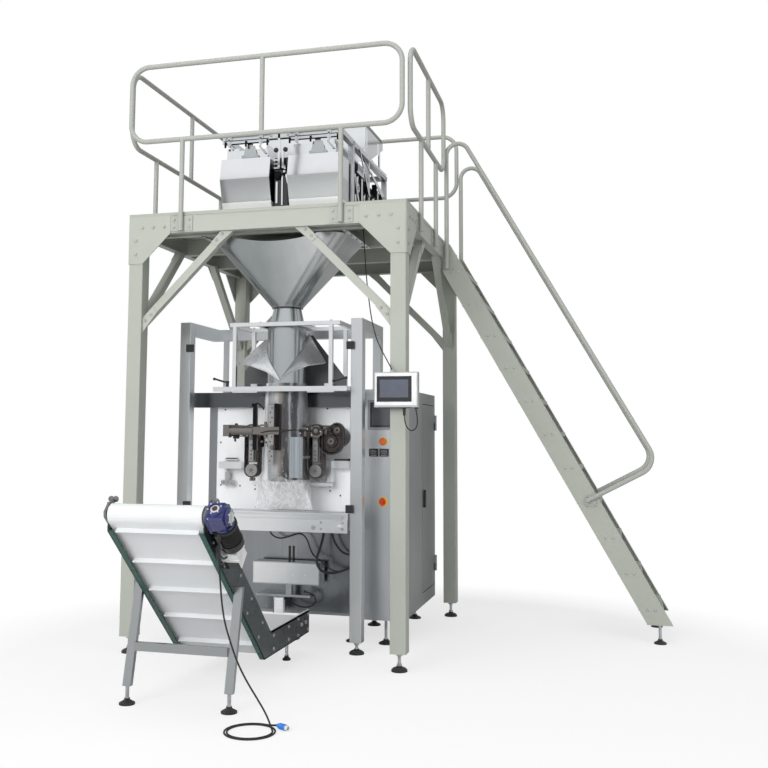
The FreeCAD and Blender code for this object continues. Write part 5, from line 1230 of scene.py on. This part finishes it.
def belt_wheels():
    """Large and small wheel at the right with their toothed belt."""
    x, z = 1290.0, 1372.0
    disc = Part("belt_wheel", "mech_dark", "aluminium")
    rim = Part("belt_wheel_rim", "mech", "aluminium")
    disc.turn((x, 468, z), FRONT, [(0, 84), (4, 84), (6, 78), (2, 74), (2, 44), (8, 40), (8, 24), (14, 22),
                                   (14, 9), (20, 8), (20, 0)], 64)
    rim.turn((x, 460, z), FRONT, [(0, 26), (10, 26), (14, 22), (14, 14), (10, 12), (10, 0)], 40)
    for k in range(5):
        t = k * 2 * math.pi / 5 + 0.4
        disc.turn((x + 58 * math.cos(t), 466, z + 58 * math.sin(t)), FRONT,
                  [(0, 13), (3, 13), (4, 11), (4, 0)], 24)
        rim.screw((x + 34 * math.cos(t + 0.6), 462, z + 34 * math.sin(t + 0.6)), FRONT, 5, 3)
    sx, sz = 1331.0, 1447.0
    disc.turn((sx, 466, sz), FRONT, [(0, 42), (6, 42), (8, 38), (4, 34), (4, 14), (12, 12), (12, 0)], 44)
    rim.turn((sx, 460, sz), FRONT, [(0, 20), (6, 20), (8, 17), (8, 9), (6, 8), (6, 0)], 32)
    rim.box(1236, 1262, 446, 470, 1418, 1470, 4)
    disc.box(1214, 1330, 452, 470, 1462, 1478, 3)
    disc.box(1226, 1290, 448, 468, 1440, 1462, 3)
    disc.done()
    rim.done()
    band = Part("wheel_toothed_belt", "rubber", "dark_rubber")
    angle = math.atan2(sz - z, sx - x)
    spread = math.acos((84.0 - 42.0) / math.hypot(sx - x, sz - z))
    arcs = ((x, z, 84.0, angle + spread, angle - spread + 2 * math.pi),
            (sx, sz, 42.0, angle - spread, angle + spread))
    rows = []
    for cx, cz, r, t0, t1 in arcs:
        count = int(abs(t1 - t0) * r / 4)
        for i in range(count + 1):
            t = t0 + (t1 - t0) * i / count
            outer = r + 9.0 - (2.4 if (len(rows) // 2) % 2 else 0.0)
            row = []
            for radius in (r, outer):
                for y in (440.0, 468.0):
                    row.append(band.bm.verts.new(P(cx + radius * math.cos(t), y, cz + radius * math.sin(t))))
            rows.append(row)
    band.close_band(rows)
    band.done()


def sealer_details():
    """Black upright bar faces, drilled bar and the small fittings of the vertical sealer."""
    black = Part("sealer_black_bars", "void", "aluminium")
    black.box(790, 818, 292, 298, 1312, 1618, 1.5)
    black.box(953, 978, 292, 298, 1312, 1618, 1.5)
    black.box(782, 800, 290, 300, 1600, 1622, 3)
    black.box(944, 962, 290, 300, 1600, 1622, 3)
    black.tube([(800, 296, 1616), (822, 296, 1622), (846, 298, 1606), (866, 300, 1580)], 4)
    black.done()
    bar = Part("sealer_drilled_bar", "pulley", "aluminium")
    bar.box(903, 939, 291, 298, 1220, 1612, 1.5)
    hole = Part("sealer_bar_holes", "black", "aluminium")
    for k in range(12):
        z = 1240 + k * 32
        hole.turn((921 + (6 if k % 2 else -6), 291, z), FRONT, [(0, 5.2), (0.4, 5.2), (0.4, 0)], 16)
    for k in range(6):
        bar.screw((921, 291, 1256 + k * 64), FRONT, 4.2)
    bar.done()
    hole.done()
    small = Part("sealer_fittings", "mech", "aluminium")
    small.box(838, 900, 302, 316, 1430, 1446, 2)
    small.box(838, 900, 302, 316, 1470, 1482, 2)
    small.box(868, 884, 300, 316, 1395, 1500, 3)
    for x, z in ((850, 1368), (878, 1362), (896, 1340)):
        small.turn((x, 316, z), FRONT, [(0, 8), (10, 8), (12, 6), (12, 0)], 16)
    small.turn((930, 298, 1330), FRONT, [(0, 18), (8, 18), (10, 14), (22, 12), (22, 0)], 24)
    small.done()


belt_units()
drive_rods()
belt_wheels()
sealer_details()


# White panel and lower front
def panel_details():
    dark = Part("panel_screws", "black", "white_panel")
    for x, z in ((409, 1357), (415, 1056), (561, 1053), (675, 1061), (675, 1032), (1081, 1074), (1081, 988),
                 (1225, 1060), (1226, 1031), (1203, 1596), (440, 1590), (1380, 1590), (1380, 910), (400, 900),
                 (900, 1000), (1300, 1000)):
        dark.screw((x, 655, z), FRONT, 6, 2.5)
    dark.done()
    grey = Part("panel_shelf_blocks", "brush_x", "brushed_steel")
    grey.box(437, 600, 560, 655, 1176, 1224, 2)
    grey.box(450, 552, 630, 655, 1232, 1240, 1)
    grey.box(1248, 1373, 600, 655, 1186, 1238, 2)
    grey.box(1231, 1262, 560, 655, 1094, 1244, 3)
    grey.box(1208, 1230, 600, 655, 1060, 1100, 3)
    grey.box(690, 1262, 560, 600, 1066, 1090, 2)
    grey.done()
    valve = Part("panel_valves", "zinc", "aluminium")
    valve.turn((484, 655, 1122), FRONT, [(0, 16), (20, 16), (24, 12), (52, 12), (52, 0)], 20)
    valve.box(472, 496, 590, 640, 1090, 1150, 3)
    valve.box(440, 528, 600, 634, 1060, 1094, 4)
    for x in (452, 484, 516):
        valve.turn((x, 600, 1078), FRONT, [(0, 10), (12, 10), (14, 7), (14, 0)], 16)
    valve.turn((484, 612, 1150), UP, [(0, 9), (12, 9), (14, 13), (22, 13), (24, 8), (24, 0)], 18)
    valve.done()
    bar = Part("panel_pull_rods", "gloss_black", "black_plastic")
    bar.tube([(455, 640, 1246), (500, 636, 1246), (548, 640, 1246)], 3.5)
    bar.box(1270, 1366, 600, 612, 1240, 1252, 2)
    bar.turn((1366, 606, 1246), RIGHT, [(0, 8), (14, 8), (16, 5), (16, 0)], 16)
    bar.done()


def jaw_details():
    p = Part("jaw_bolts", "zinc", "aluminium", "front_jaw")
    for x, z in ((560, 842), (1253, 842), (1253, 800), (1400, 842), (1400, 800)):
        p.bolt((x, 360, z), FRONT, 7, 4.5, 9)
    p.turn((1201, 360, 808), FRONT, [(0, 17), (2, 17), (3, 15), (3, 9), (1, 8), (1, 0)], 28)
    p.done()
    lip = Part("jaw_cover_plates", "brush_x", "aluminium", "front_jaw")
    lip.box(520, 1400, 357, 360, 866, 888, 0.8)
    lip.done()
    rails = Part("jaw_end_blocks", "cast", "aluminium")
    for s in (-1, 1):
        x = AXIS_X + s * 422
        rails.box(x - 32, x + 32, 640, 700, 780, 854, 5)
        for dx in (-20, 20):
            rails.screw((x + dx, 640, 796), FRONT, 5)
            rails.screw((x + dx, 640, 838), FRONT, 5)
        rails.turn((x, 345, 817), FRONT, [(0, 12), (1, 13.6), (3, 13.6), (4, 12), (4, 0)], 28)
    rails.done()


def lower_front():
    sheet = Part("lower_front_panels", "lower_sheet", "brushed_steel")
    sheet.box(395, 1440, 694, 700, 205, 770, 2)
    sheet.done()
    slot = Part("lower_panel_slots", "black", "black_plastic")
    slot.box(917, 934, 692.6, 694.2, 546, 644, 0.5)
    slot.box(946, 962, 692.6, 694.2, 546, 644, 0.5)
    slot.box(420, 700, 692.6, 694.2, 745, 758, 0.5)
    slot.done()
    b = Part("lower_panel_screws", "zinc", "brushed_steel")
    for x in (415, 760, 1420):
        for z in (225, 480, 745):
            b.screw((x, 694, z), FRONT, 6, 3)
    b.done()
    rib = Part("bag_support_ribs", "brush_x", "satin_steel")
    rib.box(722, 1186, 526, 530, 412, 546, 1.5)
    for x in (819, 906, 1006, 1092):
        rib.screw((x, 526, 469), FRONT, 6, 3)
    rib.done()


panel_details()
jaw_details()
lower_front()


HOSES = (
    ("jaw_hose_thin", 0.005, 0.805, [
        (806, 604, 773), (808, 610, 738), (842, 618, 708), (890, 620, 700), (950, 620, 718), (1000, 622, 738),
        (1046, 620, 734), (1078, 620, 696), (1094, 618, 650), (1114, 606, 612), (1146, 590, 584),
        (1188, 580, 566), (1222, 580, 536), (1254, 590, 506), (1302, 610, 492), (1350, 640, 500),
        (1384, 670, 522), (1404, 694, 545)]),
    ("jaw_hose_thick", 0.0085, 0.583, [
        (1199, 604, 773), (1199, 604, 738), (1192, 586, 690), (1184, 556, 640), (1176, 522, 592),
        (1182, 506, 545), (1212, 504, 510), (1256, 514, 494), (1311, 556, 494), (1352, 612, 508),
        (1380, 658, 524), (1402, 694, 538)]),
    ("jaw_hose_right", 0.0075, 0.285, [
        (1258, 604, 773), (1258, 612, 735), (1270, 618, 694), (1296, 622, 650), (1330, 632, 616),
        (1368, 652, 604), (1396, 676, 606), (1410, 694, 612)]),
    ("shelf_hose", 0.0045, 0.37, [
        (932, 566, 304), (952, 590, 296), (990, 606, 262), (1036, 612, 246), (1084, 612, 244),
        (1128, 610, 262), (1148, 606, 298), (1132, 602, 334), (1096, 600, 346), (1064, 600, 352)]),
)


def air_hoses():
    """Black hoses that hang between the jaw carrier or the bag shelf and the panel."""
    for name, radius, length, route in HOSES:
        points = [P(*p) for p in route]
        hose = spline(name, points, radius, "cable")
    ends = Part("hose_fittings", "gloss_black", "black_plastic")
    for _, radius, _, route in HOSES:
        r = radius * 1000
        fitting = [(0, r + 4), (10, r + 4), (12, r + 1.5), (20, r + 1.5), (22, r + 0.3), (22, 0)]
        for spot, toward in ((route[0], route[1]), (route[-1], route[-2])):
            way = Vector(toward) - Vector(spot)
            ends.turn(tuple(Vector(spot) - way.normalized() * 3.0), way, fitting, 18)
    ends.done()
    block = Part("shelf_lift_block", "white", "white_panel")
    block.box(868, 932, 548, 580, 208, 312, 3)
    for k in range(5):
        block.box(874, 926, 543, 549, 218 + k * 18, 227 + k * 18, 1)
    block.done()


air_hoses()


# Forming collar, film and bag
def grid_piece(p, rows, closed=False):
    """Adds a surface through rows of model points to a Part."""
    lines = [[p.bm.verts.new(P(*point)) for point in row] for row in rows]
    for low, high in zip(lines, lines[1:]):
        count = len(low) if closed else len(low) - 1
        for k in range(count):
            m = (k + 1) % len(low)
            p.bm.faces.new((low[k], low[m], high[m], high[k]))


def along_line(stops, t):
    """Point at share t on a line of (share, point) stops."""
    for (t0, a), (t1, b) in zip(stops, stops[1:]):
        if t <= t1:
            k = (t - t0) / (t1 - t0)
            return tuple(u + (v - u) * k for u, v in zip(a, b))
    return stops[-1][1]


WING_EDGES = {
    -1: ((0.0, (956, 340, 1781)), (0.30, (853, 345, 1841)), (0.58, (729, 370, 1883)),
         (0.74, (620, 430, 1895)), (1.0, (780, 520, 2068))),
    1: ((0.0, (958, 340, 1781)), (0.30, (1083, 345, 1851)), (0.56, (1158, 360, 1877)),
        (0.74, (1262, 430, 1896)), (1.0, (1112, 500, 2107))),
}
COLLAR_R, COLLAR_V, COLLAR_RISE, COLLAR_TURN = 137.5, 1781.0, 300.0, 102.0


def collar_wings():
    # The right wing takes the darker copy of the collar sheet as painted shade.
    for side, name, look in ((-1, "collar_wing_left", "collar"), (1, "collar_wing_right", "collar_painted_shade")):
        p = Part(name, look, "satin_steel")
        rows = []
        for i in range(49):
            t = i / 48
            a = math.radians(COLLAR_TURN * t)
            inner = (AXIS_X + side * COLLAR_R * math.sin(a), AXIS_Y - COLLAR_R * math.cos(a),
                     COLLAR_V + COLLAR_RISE * t ** 0.85)
            outer = along_line(WING_EDGES[side], t)
            row = []
            for k in range(15):
                s = k / 14
                bow = 26.0 * math.sin(math.pi * s) * math.sin(math.pi * min(t * 1.1, 1.0))
                row.append((inner[0] + (outer[0] - inner[0]) * s,
                            inner[1] + (outer[1] - inner[1]) * s - bow * 0.5,
                            inner[2] + (outer[2] - inner[2]) * s - bow * 0.35))
            rows.append(row)
        grid_piece(p, rows)
        piece = p.done(25)
        fold = piece.modifiers.new("sheet", "SOLIDIFY")
        fold.thickness = 0.0015
        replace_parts(piece, "forming_collar")
    rim = Part("collar_rims", "brush_x", "satin_steel")
    for side in (-1, 1):
        rim.tube([along_line(WING_EDGES[side], t / 20) for t in range(16)], 1.7, 8)
    piece = rim.done()
    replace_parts(piece, "forming_collar")
    sheet = Part("collar_guide_sheet", "guide_sheet", "satin_steel")
    outline = ((590, 1735), (590, 1862), (700, 1990), (816, 2092), (1096, 2110), (1342, 1800), (1342, 1735))
    sheet.prism([(x, 640, z) for x, z in outline], (0, 2, 0), 0.4)
    piece = sheet.done()
    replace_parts(piece, "forming_collar")


def film_section(z):
    """Half width, half depth and middle of the film at a height."""
    if z > 1640:
        r = 139.0 + 9.0 * (1764 - z) / 124
        return r, r, AXIS_X
    if z > 1180:
        return 148.0, 148.0, AXIS_X
    share = min((1180 - z) / 268, 1.0)
    wide = 148.0 + 58.0 * share ** 0.8
    deep = 148.0 - 132.0 * share ** 1.3
    return wide, deep, AXIS_X - 12.0 * share


def film_skin(name, look, top, base, steps, replaced):
    """Wrinkled skin of the film between two heights; the folds grow towards the jaws."""
    p = Part(name, look, "clear_film")
    rows = []
    around = 144
    for i in range(steps + 1):
        z = top + (base - top) * i / steps
        wide, deep, mid = film_section(z)
        loose = max(0.0, min(1.0, (1300 - z) / 388))
        row = []
        for k in range(around):
            a = 2 * math.pi * k / around
            fold = (math.sin(9 * a + 0.011 * z) * 0.5 + math.sin(17 * a - 0.02 * z + 1.3) * 0.3
                    + math.sin(31 * a + 0.05 * z) * 0.2)
            dent = math.sin(0.045 * z + 3 * a) * math.sin(5 * a)
            grow = fold * (0.8 + 5.0 * loose) + dent * 3.0 * loose
            grow_deep = grow * (0.4 + 0.6 * deep / 148)
            row.append((mid + (wide + grow) * math.cos(a), AXIS_Y + (deep + grow_deep) * math.sin(a), z))
        rows.append(row)
    grid_piece(p, rows, closed=True)
    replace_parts(p.done(60), replaced)


def film_pieces():
    film_skin("film_on_tube", "wrapped_film", 1762, 1112, 66, "film_sleeve")
    film_skin("bag_skin", "bag", 1112, 913, 44, "film_bag")
    creases = Part("bag_creases", "crease", "clear_film")
    lines = (
        [(800, 470, 1110), (788, 462, 1060), (772, 470, 1000), (760, 478, 950), (756, 480, 914)],
        [(1104, 450, 1104), (1112, 440, 1050), (1130, 455, 990), (1148, 468, 940), (1158, 478, 914)],
        [(880, 346, 1100), (858, 362, 1052), (840, 392, 1010), (812, 430, 960)],
        [(1040, 346, 1100), (1052, 366, 1050), (1086, 398, 1000), (1112, 434, 950)],
        [(960, 338, 1108), (930, 360, 1060), (905, 388, 1018), (890, 420, 980)],
        [(1010, 340, 1120), (1030, 352, 1080), (1040, 380, 1030), (1052, 410, 990)],
    )
    for line in lines:
        creases.tube(line, 1.6, 6)
    creases.done()


collar_wings()
film_pieces()


# Operator screens
def border(p, x0, x1, z0, z1, rims, y0, y1, bevel):
    """Four bars round a screen: x0, x1, z0 and z1 are outside, the rims are left, right, low and high."""
    left, right, low, high = rims
    for bar in ((x0, x1, z1 - high, z1), (x0, x1, z0, z0 + low), (x0, x0 + left, z0 + low, z1 - high),
                (x1 - right, x1, z0 + low, z1 - high)):
        p.box(bar[0], bar[1], y0, y1, bar[2], bar[3], bevel)


def screen_details():
    bezel = Part("weigher_screen_bezel", "gloss_black", "black_plastic")
    bezel.box(1733, 1948, -66, -61, 1618, 1772, 4)
    bezel.done()
    glass = Part("weigher_screen_display", "display", "screen_glass")
    glass.box(1751, 1929, -67.5, -65, 1643, 1752, 1)
    glass.done()
    case = Part("weigher_screen_frame", "case_white", "white_plastic")
    border(case, 1722, 1980, 1596, 1792, (9, 30, 19, 18), -64, -61, 1.2)
    case.done()
    under = Part("weigher_screen_connectors", "gloss_black", "black_plastic")
    under.turn((1898, -37, 1584), DOWN, [(0, 11), (10, 11), (12, 8.5), (46, 8.5), (52, 5), (52, 3.6)], 20)
    under.turn((1972, -37, 1584), DOWN, [(0, 11), (10, 11), (14, 7), (26, 5), (26, 3.6)], 20)
    under.box(1735, 1945, -58, -14, 1579, 1584, 2)
    under.done()
    bezel = Part("cabinet_screen_bezel", "grey", "black_plastic")
    border(bezel, 1484, 1703, 1453, 1655, (16, 16, 15, 15), 684, 712, 1.5)
    bezel.done()
    glass = Part("cabinet_screen_display", "display_dim", "screen_glass")
    glass.box(1512, 1676, 690, 695, 1482, 1628, 1.5)
    glass.done()


def controller_faces():
    face = Part("controller_faces", "display_teal", "black_plastic")
    keys = Part("controller_keys", "grey", "black_plastic")
    rim = Part("controller_rims", "gloss_black", "black_plastic")
    for x in (1497.0, 1570.0):
        rim.box(x - 2, x + 62, 680, 683, 1269, 1322, 3)
        face.box(x + 8, x + 52, 678.5, 680.5, 1296, 1315, 1)
        face.box(x + 8, x + 52, 678.5, 680.5, 1285, 1293, 1)
        for k in range(4):
            keys.box(x + 9 + k * 11, x + 17 + k * 11, 678.8, 680.5, 1274, 1280, 0.8)
    for p in (face, keys, rim):
        p.done()


screen_details()
controller_faces()

# Conveyor
SLOPE = math.radians(42.0)
RUN, ELBOW_Y, ELBOW_Z = 1262.0, -475.0, 138.0
SIDE_L, SIDE_R = 652.0, 1182.0


def slope(along, up):
    """(y, z) on the sloping run, along it from the elbow and square up from its lower edge."""
    return (ELBOW_Y - along * math.cos(SLOPE) + up * math.sin(SLOPE),
            ELBOW_Z + along * math.sin(SLOPE) + up * math.cos(SLOPE))


def at_gear(x, along, up):
    """Point set out from the head shaft: down the slope and square up from it."""
    y, z = slope(RUN - 54.0 - along, 84.0 + up)
    return (x, y, z)


def slope_box(p, x0, x1, a0, a1, b0, b1, bevel):
    corners = [at_gear(x0, a, b) for a, b in ((a0, b0), (a1, b0), (a1, b1), (a0, b1))]
    p.prism(corners, (x1 - x0, 0, 0), bevel)


DOWN_RUN = (0.0, math.cos(SLOPE), -math.sin(SLOPE))
UP_RUN = (0.0, -math.cos(SLOPE), math.sin(SLOPE))
SQUARE_UP = (0.0, math.sin(SLOPE), math.cos(SLOPE))


def conveyor_frame():
    plates = Part("conveyor_side_plates", "green", "green_plate")
    lips = Part("conveyor_lower_lips", "green_lip", "green_plate")
    inner_y = slope(RUN, 168)[0] + (slope(RUN, 168)[1] - 280) / math.tan(SLOPE)
    outline = [(345, 138), (-475, 138), slope(1176, 0), slope(1196, 20), slope(1196, 146), slope(1174, 168),
               (inner_y, 280), (345, 280)]
    lip = [(345, 138), (-475, 138), slope(1176, 0), slope(1176, 6), (ELBOW_Y + 2.3, 144), (345, 144)]
    for x, s in ((SIDE_L, 1), (SIDE_R, -1)):
        plates.prism([(x, y, z) for y, z in outline], (s * 6, 0, 0), 0.8)
        lips.prism([(x, y, z) for y, z in lip], (s * 30, 0, 0), 0.8)
    a = plates.done()
    b = lips.done()
    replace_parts(a, "conveyor_sides")
    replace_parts(b, "conveyor_sides")
    strip = Part("tail_edge_strips", "pale", "aluminium")
    for x0, x1 in ((SIDE_L, SIDE_L + 9), (SIDE_R - 9, SIDE_R)):
        strip.box(x0, x1, inner_y + 8, 345, 266, 283, 1)
        strip.box(x0, x1, 341, 347, 150, 283, 1)
    strip.done()


def head_brackets():
    """Slotted plate, tensioning block and wing bolt at both ends of the head shaft."""
    grey = Part("head_brackets", "worn_bracket", "aluminium")
    dark = Part("head_bracket_bolts", "dark_steel", "aluminium")
    for x, out in ((SIDE_L, -1), (SIDE_R, 1)):
        f0, f1 = (x - 14, x) if out < 0 else (x, x + 12)
        outline = [slope(1110, 52), slope(1110, 112), slope(1160, 126), slope(1238, 126), slope(1256, 108),
                   slope(1256, 60), slope(1236, 42), slope(1160, 42)]
        grey.prism([(f0, y, z) for y, z in outline], (f1 - f0, 0, 0), 1)
        y, z = slope(1208, 84)
        grey.turn((x, y, z), (out, 0, 0), [(0, 30), (10, 30), (14, 26), (20, 24), (22, 20), (22, 0)], 28)
        dark.turn((x + out * 22, y, z), (out, 0, 0), [(0, 12), (5, 12), (6, 10), (6, 0)], 20)
        for a, b in ((1128, 66), (1128, 100), (1176, 112), (1176, 56)):
            by, bz = slope(a, b)
            dark.bolt((x + out * 5, by, bz), (out, 0, 0), 7, 5, 10)
        y0, z0 = slope(1222, 126)
        grey.box(x + out * 12 - 13, x + out * 12 + 13, y0 - 16, y0 + 16, z0 - 12, z0 + 18, 3)
        dark.turn((x + out * 12, y0, z0), SQUARE_UP, [(0, 6), (34, 6), (34, 0)], 16)
        wy, wz = slope(1222, 168)
        for k in (-1, 1):
            grey.turn((x + out * 14 + k * 13, wy, wz), BACK,
                      [(-3, 0), (-3, 13), (-1, 16), (3, 16), (5, 13), (5, 0)], 24)
    grey.done()
    dark.done()


def tail_details():
    bolts = Part("conveyor_side_bolts", "zinc", "green_plate")
    slots = Part("tail_slots", "black", "black_plastic")
    for along in (180, 420, 640, 860, 1060):
        for up in (38, 128):
            y, z = slope(along, up)
            bolts.bolt((SIDE_R, y, z), RIGHT, 6.5, 4.5, 9)
            bolts.bolt((SIDE_L, y, z), LEFT, 6.5, 4.5, 9)
    for y, z in ((-330, 170), (-330, 246), (-60, 170), (-60, 246), (120, 160), (320, 160), (120, 258),
                 (320, 258)):
        bolts.bolt((SIDE_R, y, z), RIGHT, 7.5, 5.5, 11)
        bolts.bolt((SIDE_L, y, z), LEFT, 7.5, 5.5, 11)
    for y in (178, 262):
        for x0, x1 in ((SIDE_R, SIDE_R + 1.2), (SIDE_L - 1.2, SIDE_L)):
            slots.box(x0, x1, y - 9, y + 9, 188, 244, 0.4)
        for x, out in ((SIDE_R, 1), (SIDE_L, -1)):
            bolts.bolt((x + out * 1.2, y, 216), (out, 0, 0), 11, 9, 15)
    eye = Part("tail_eye_bolt", "chrome", "aluminium")
    eye.turn((SIDE_R - 14, -60, 138), DOWN, [(0, 9), (8, 9), (10, 5), (40, 5), (40, 0)], 16)
    ring = [(SIDE_R - 14, -60 + 13 * math.cos(a * math.pi / 6), 86 + 13 * math.sin(a * math.pi / 6))
            for a in range(13)]
    eye.tube(ring, 3.2, 10)
    for p in (bolts, slots, eye):
        p.done()


def gearbox():
    case = Part("gearbox_case", "blue", "blue_paint")
    shape = [(-46, -58), (40, -58), (56, -44), (56, 44), (40, 58), (-30, 58), (-56, 40), (-56, -40)]
    case.prism([at_gear(1206, a, b) for a, b in shape], (84, 0, 0), 6)
    slope_box(case, 1198, 1210, -58, 58, -60, 60, 7)
    for b in (-40, -14, 14, 40):
        slope_box(case, 1218, 1284, -60, 60, b - 3, b + 3, 1.5)
    case.turn(at_gear(1241, -50, 0), UP_RUN, [(0, 46), (8, 46), (10, 43), (20, 41), (22, 38), (22, 28),
                                              (14, 26), (14, 0)], 48)
    case.turn(at_gear(1286, 0, 0), RIGHT, [(0, 48), (8, 48), (12, 44), (20, 42), (22, 39), (22, 0)], 48)
    case.turn(at_gear(1252, 52, 0), DOWN_RUN, [(0, 50), (6, 56), (14, 60), (20, 60), (20, 0)], 48)
    piece = case.done(40)
    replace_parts(piece, "gear_motor")
    ring = Part("gearbox_rings", "chrome", "blue_paint")
    ring.turn(at_gear(1307, 0, 0), RIGHT, [(0, 31), (3, 31), (4.5, 29), (4.5, 20), (2, 18), (2, 0)], 40)
    ring.turn(at_gear(1241, -65, 0), UP_RUN, [(0, 24), (2, 24), (3, 22), (3, 15), (1, 14)], 36)
    for k in range(6):
        t = k * math.pi / 3 + 0.3
        ring.bolt(at_gear(1307, 35.5 * math.cos(t), 35.5 * math.sin(t)), RIGHT, 3.6, 3, 4.6)
        place = at_gear(1241 + 33.5 * math.cos(t), -72, 33.5 * math.sin(t))
        ring.bolt(place, UP_RUN, 3.6, 3, 4.6)
    for b in (-48, 48):
        for a in (-46, 46):
            ring.bolt(at_gear(1210, a, b), RIGHT, 6.5, 5, 9)
    ring.done()
    plug = Part("gearbox_oil_plug", "rust", "blue_paint")
    plug.turn(at_gear(1241, -66, 0), UP_RUN, [(0, 13), (4, 13), (5, 11), (5, 0)], 28)
    plug.turn(at_gear(1276, 30, 40), RIGHT, [(0, 8), (6, 8), (7, 6), (7, 0)], 6)
    plug.done()


def motor_details():
    p = Part("motor_fan_cap", "gloss_black", "black_plastic")
    p.turn(at_gear(1252, 180, 0), DOWN_RUN, [(0, 61), (3, 63), (36, 63), (41, 58), (42, 46), (42, 0)], 44)
    slope_box(p, 1228, 1276, 84, 150, 56, 66, 4)
    slope_box(p, 1216, 1234, 74, 176, -64, -52, 3)
    p.done()
    box_part = Part("junction_box_case", "clear_box", "white_plastic")
    slope_box(box_part, SIDE_R, 1276, 250, 362, -46, 46, 6)
    slope_box(box_part, SIDE_R, 1280, 296, 302, -50, 50, 2)
    piece = box_part.done()
    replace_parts(piece, "junction_box")
    dark = Part("junction_box_block", "gloss_black", "black_plastic")
    slope_box(dark, 1188, 1270, 318, 367, -50, 12, 4)
    dark.turn(at_gear(1225, 318, -20), UP_RUN, [(0, 13), (10, 13), (12, 10), (24, 9), (24, 4)], 18)
    upper = ((1225, 300, -20), (1222, 276, -34), (1214, 256, -66), (1206, 220, -74), (1206, 190, -66),
             (1216, 168, -58))
    lower = ((1200, 330, -40), (1190, 300, -70), (1190, 250, -86), (1196, 190, -74), (1206, 150, -60))
    for route, radius in ((upper, 5), (lower, 4)):
        dark.tube([at_gear(*spot) for spot in route], radius, 10)
    dark.done()


conveyor_frame()
head_brackets()
tail_details()
gearbox()
motor_details()


def weigher_contrast():
    """Black boxes in the form of actuators, black sheets and lines as painted shade, and bright shards that
    fill the weigher's frame.
    """
    # Painted shade: matt black sheets, boxes and lines where the weigher's frame lies in shade.
    dark = Part("weigher_painted_shade_blocks", "void", "black_plastic")
    for x0, x1 in ((1336, 1350), (562, 576)):
        dark.box(x0, x1, 600, 1590, 3066, 3296, 3)
    for x0, x1 in ((1350, 1384), (528, 562)):
        dark.box(x0, x1, 620, 706, 2990, 3040, 4)
        dark.box(x0, x1, 1000, 1050, 3060, 3240, 6)
        dark.box(x0, x1, 1140, 1290, 2950, 3010, 6)
        dark.box(x0, x1, 1400, 1560, 2960, 3040, 6)
        dark.box(x0, x1, 1300, 1330, 3200, 3340, 4)
        dark.box(x0, x1, 660, 760, 3300, 3350, 4)
    # Painted shade: thin black lines along the upper rail of each cover.
    for x0, x1 in ((536, 868), (1012, 1372)):
        dark.box(x0, x1, 314, 317, 3478, 3484, 0.5)
        dark.box(x0, x1, 314, 317, 3446, 3450, 0.5)
        dark.box(x0, x1, 320, 324, 3420, 3427, 0.5)
    for x in (548, 700, 858, 1020, 1170, 1362):
        dark.box(x - 6, x + 6, 308, 316, 3400, 3440, 1.5)
    dark.done()
    shard = Part("weigher_mirror_shards", "mirror", "mirror_steel")
    shards = (((700, 3240), (760, 3262), (742, 3160)),
              ((900, 3150), (958, 3178), (930, 3070)),
              ((1160, 3190), (1230, 3214), (1210, 3120), (1176, 3128)),
              ((1420, 3230), (1478, 3250), (1450, 3150)),
              ((660, 3100), (700, 3120), (720, 3020), (684, 3010)),
              ((1060, 3040), (1120, 3060), (1100, 2980)))
    for f, s in ((1386, 1), (526, -1)):
        for pts in shards:
            shard.prism([(f, y, z) for y, z in pts], (s * 3, 0, 0), 0.6)
    shard.done()


weigher_contrast()
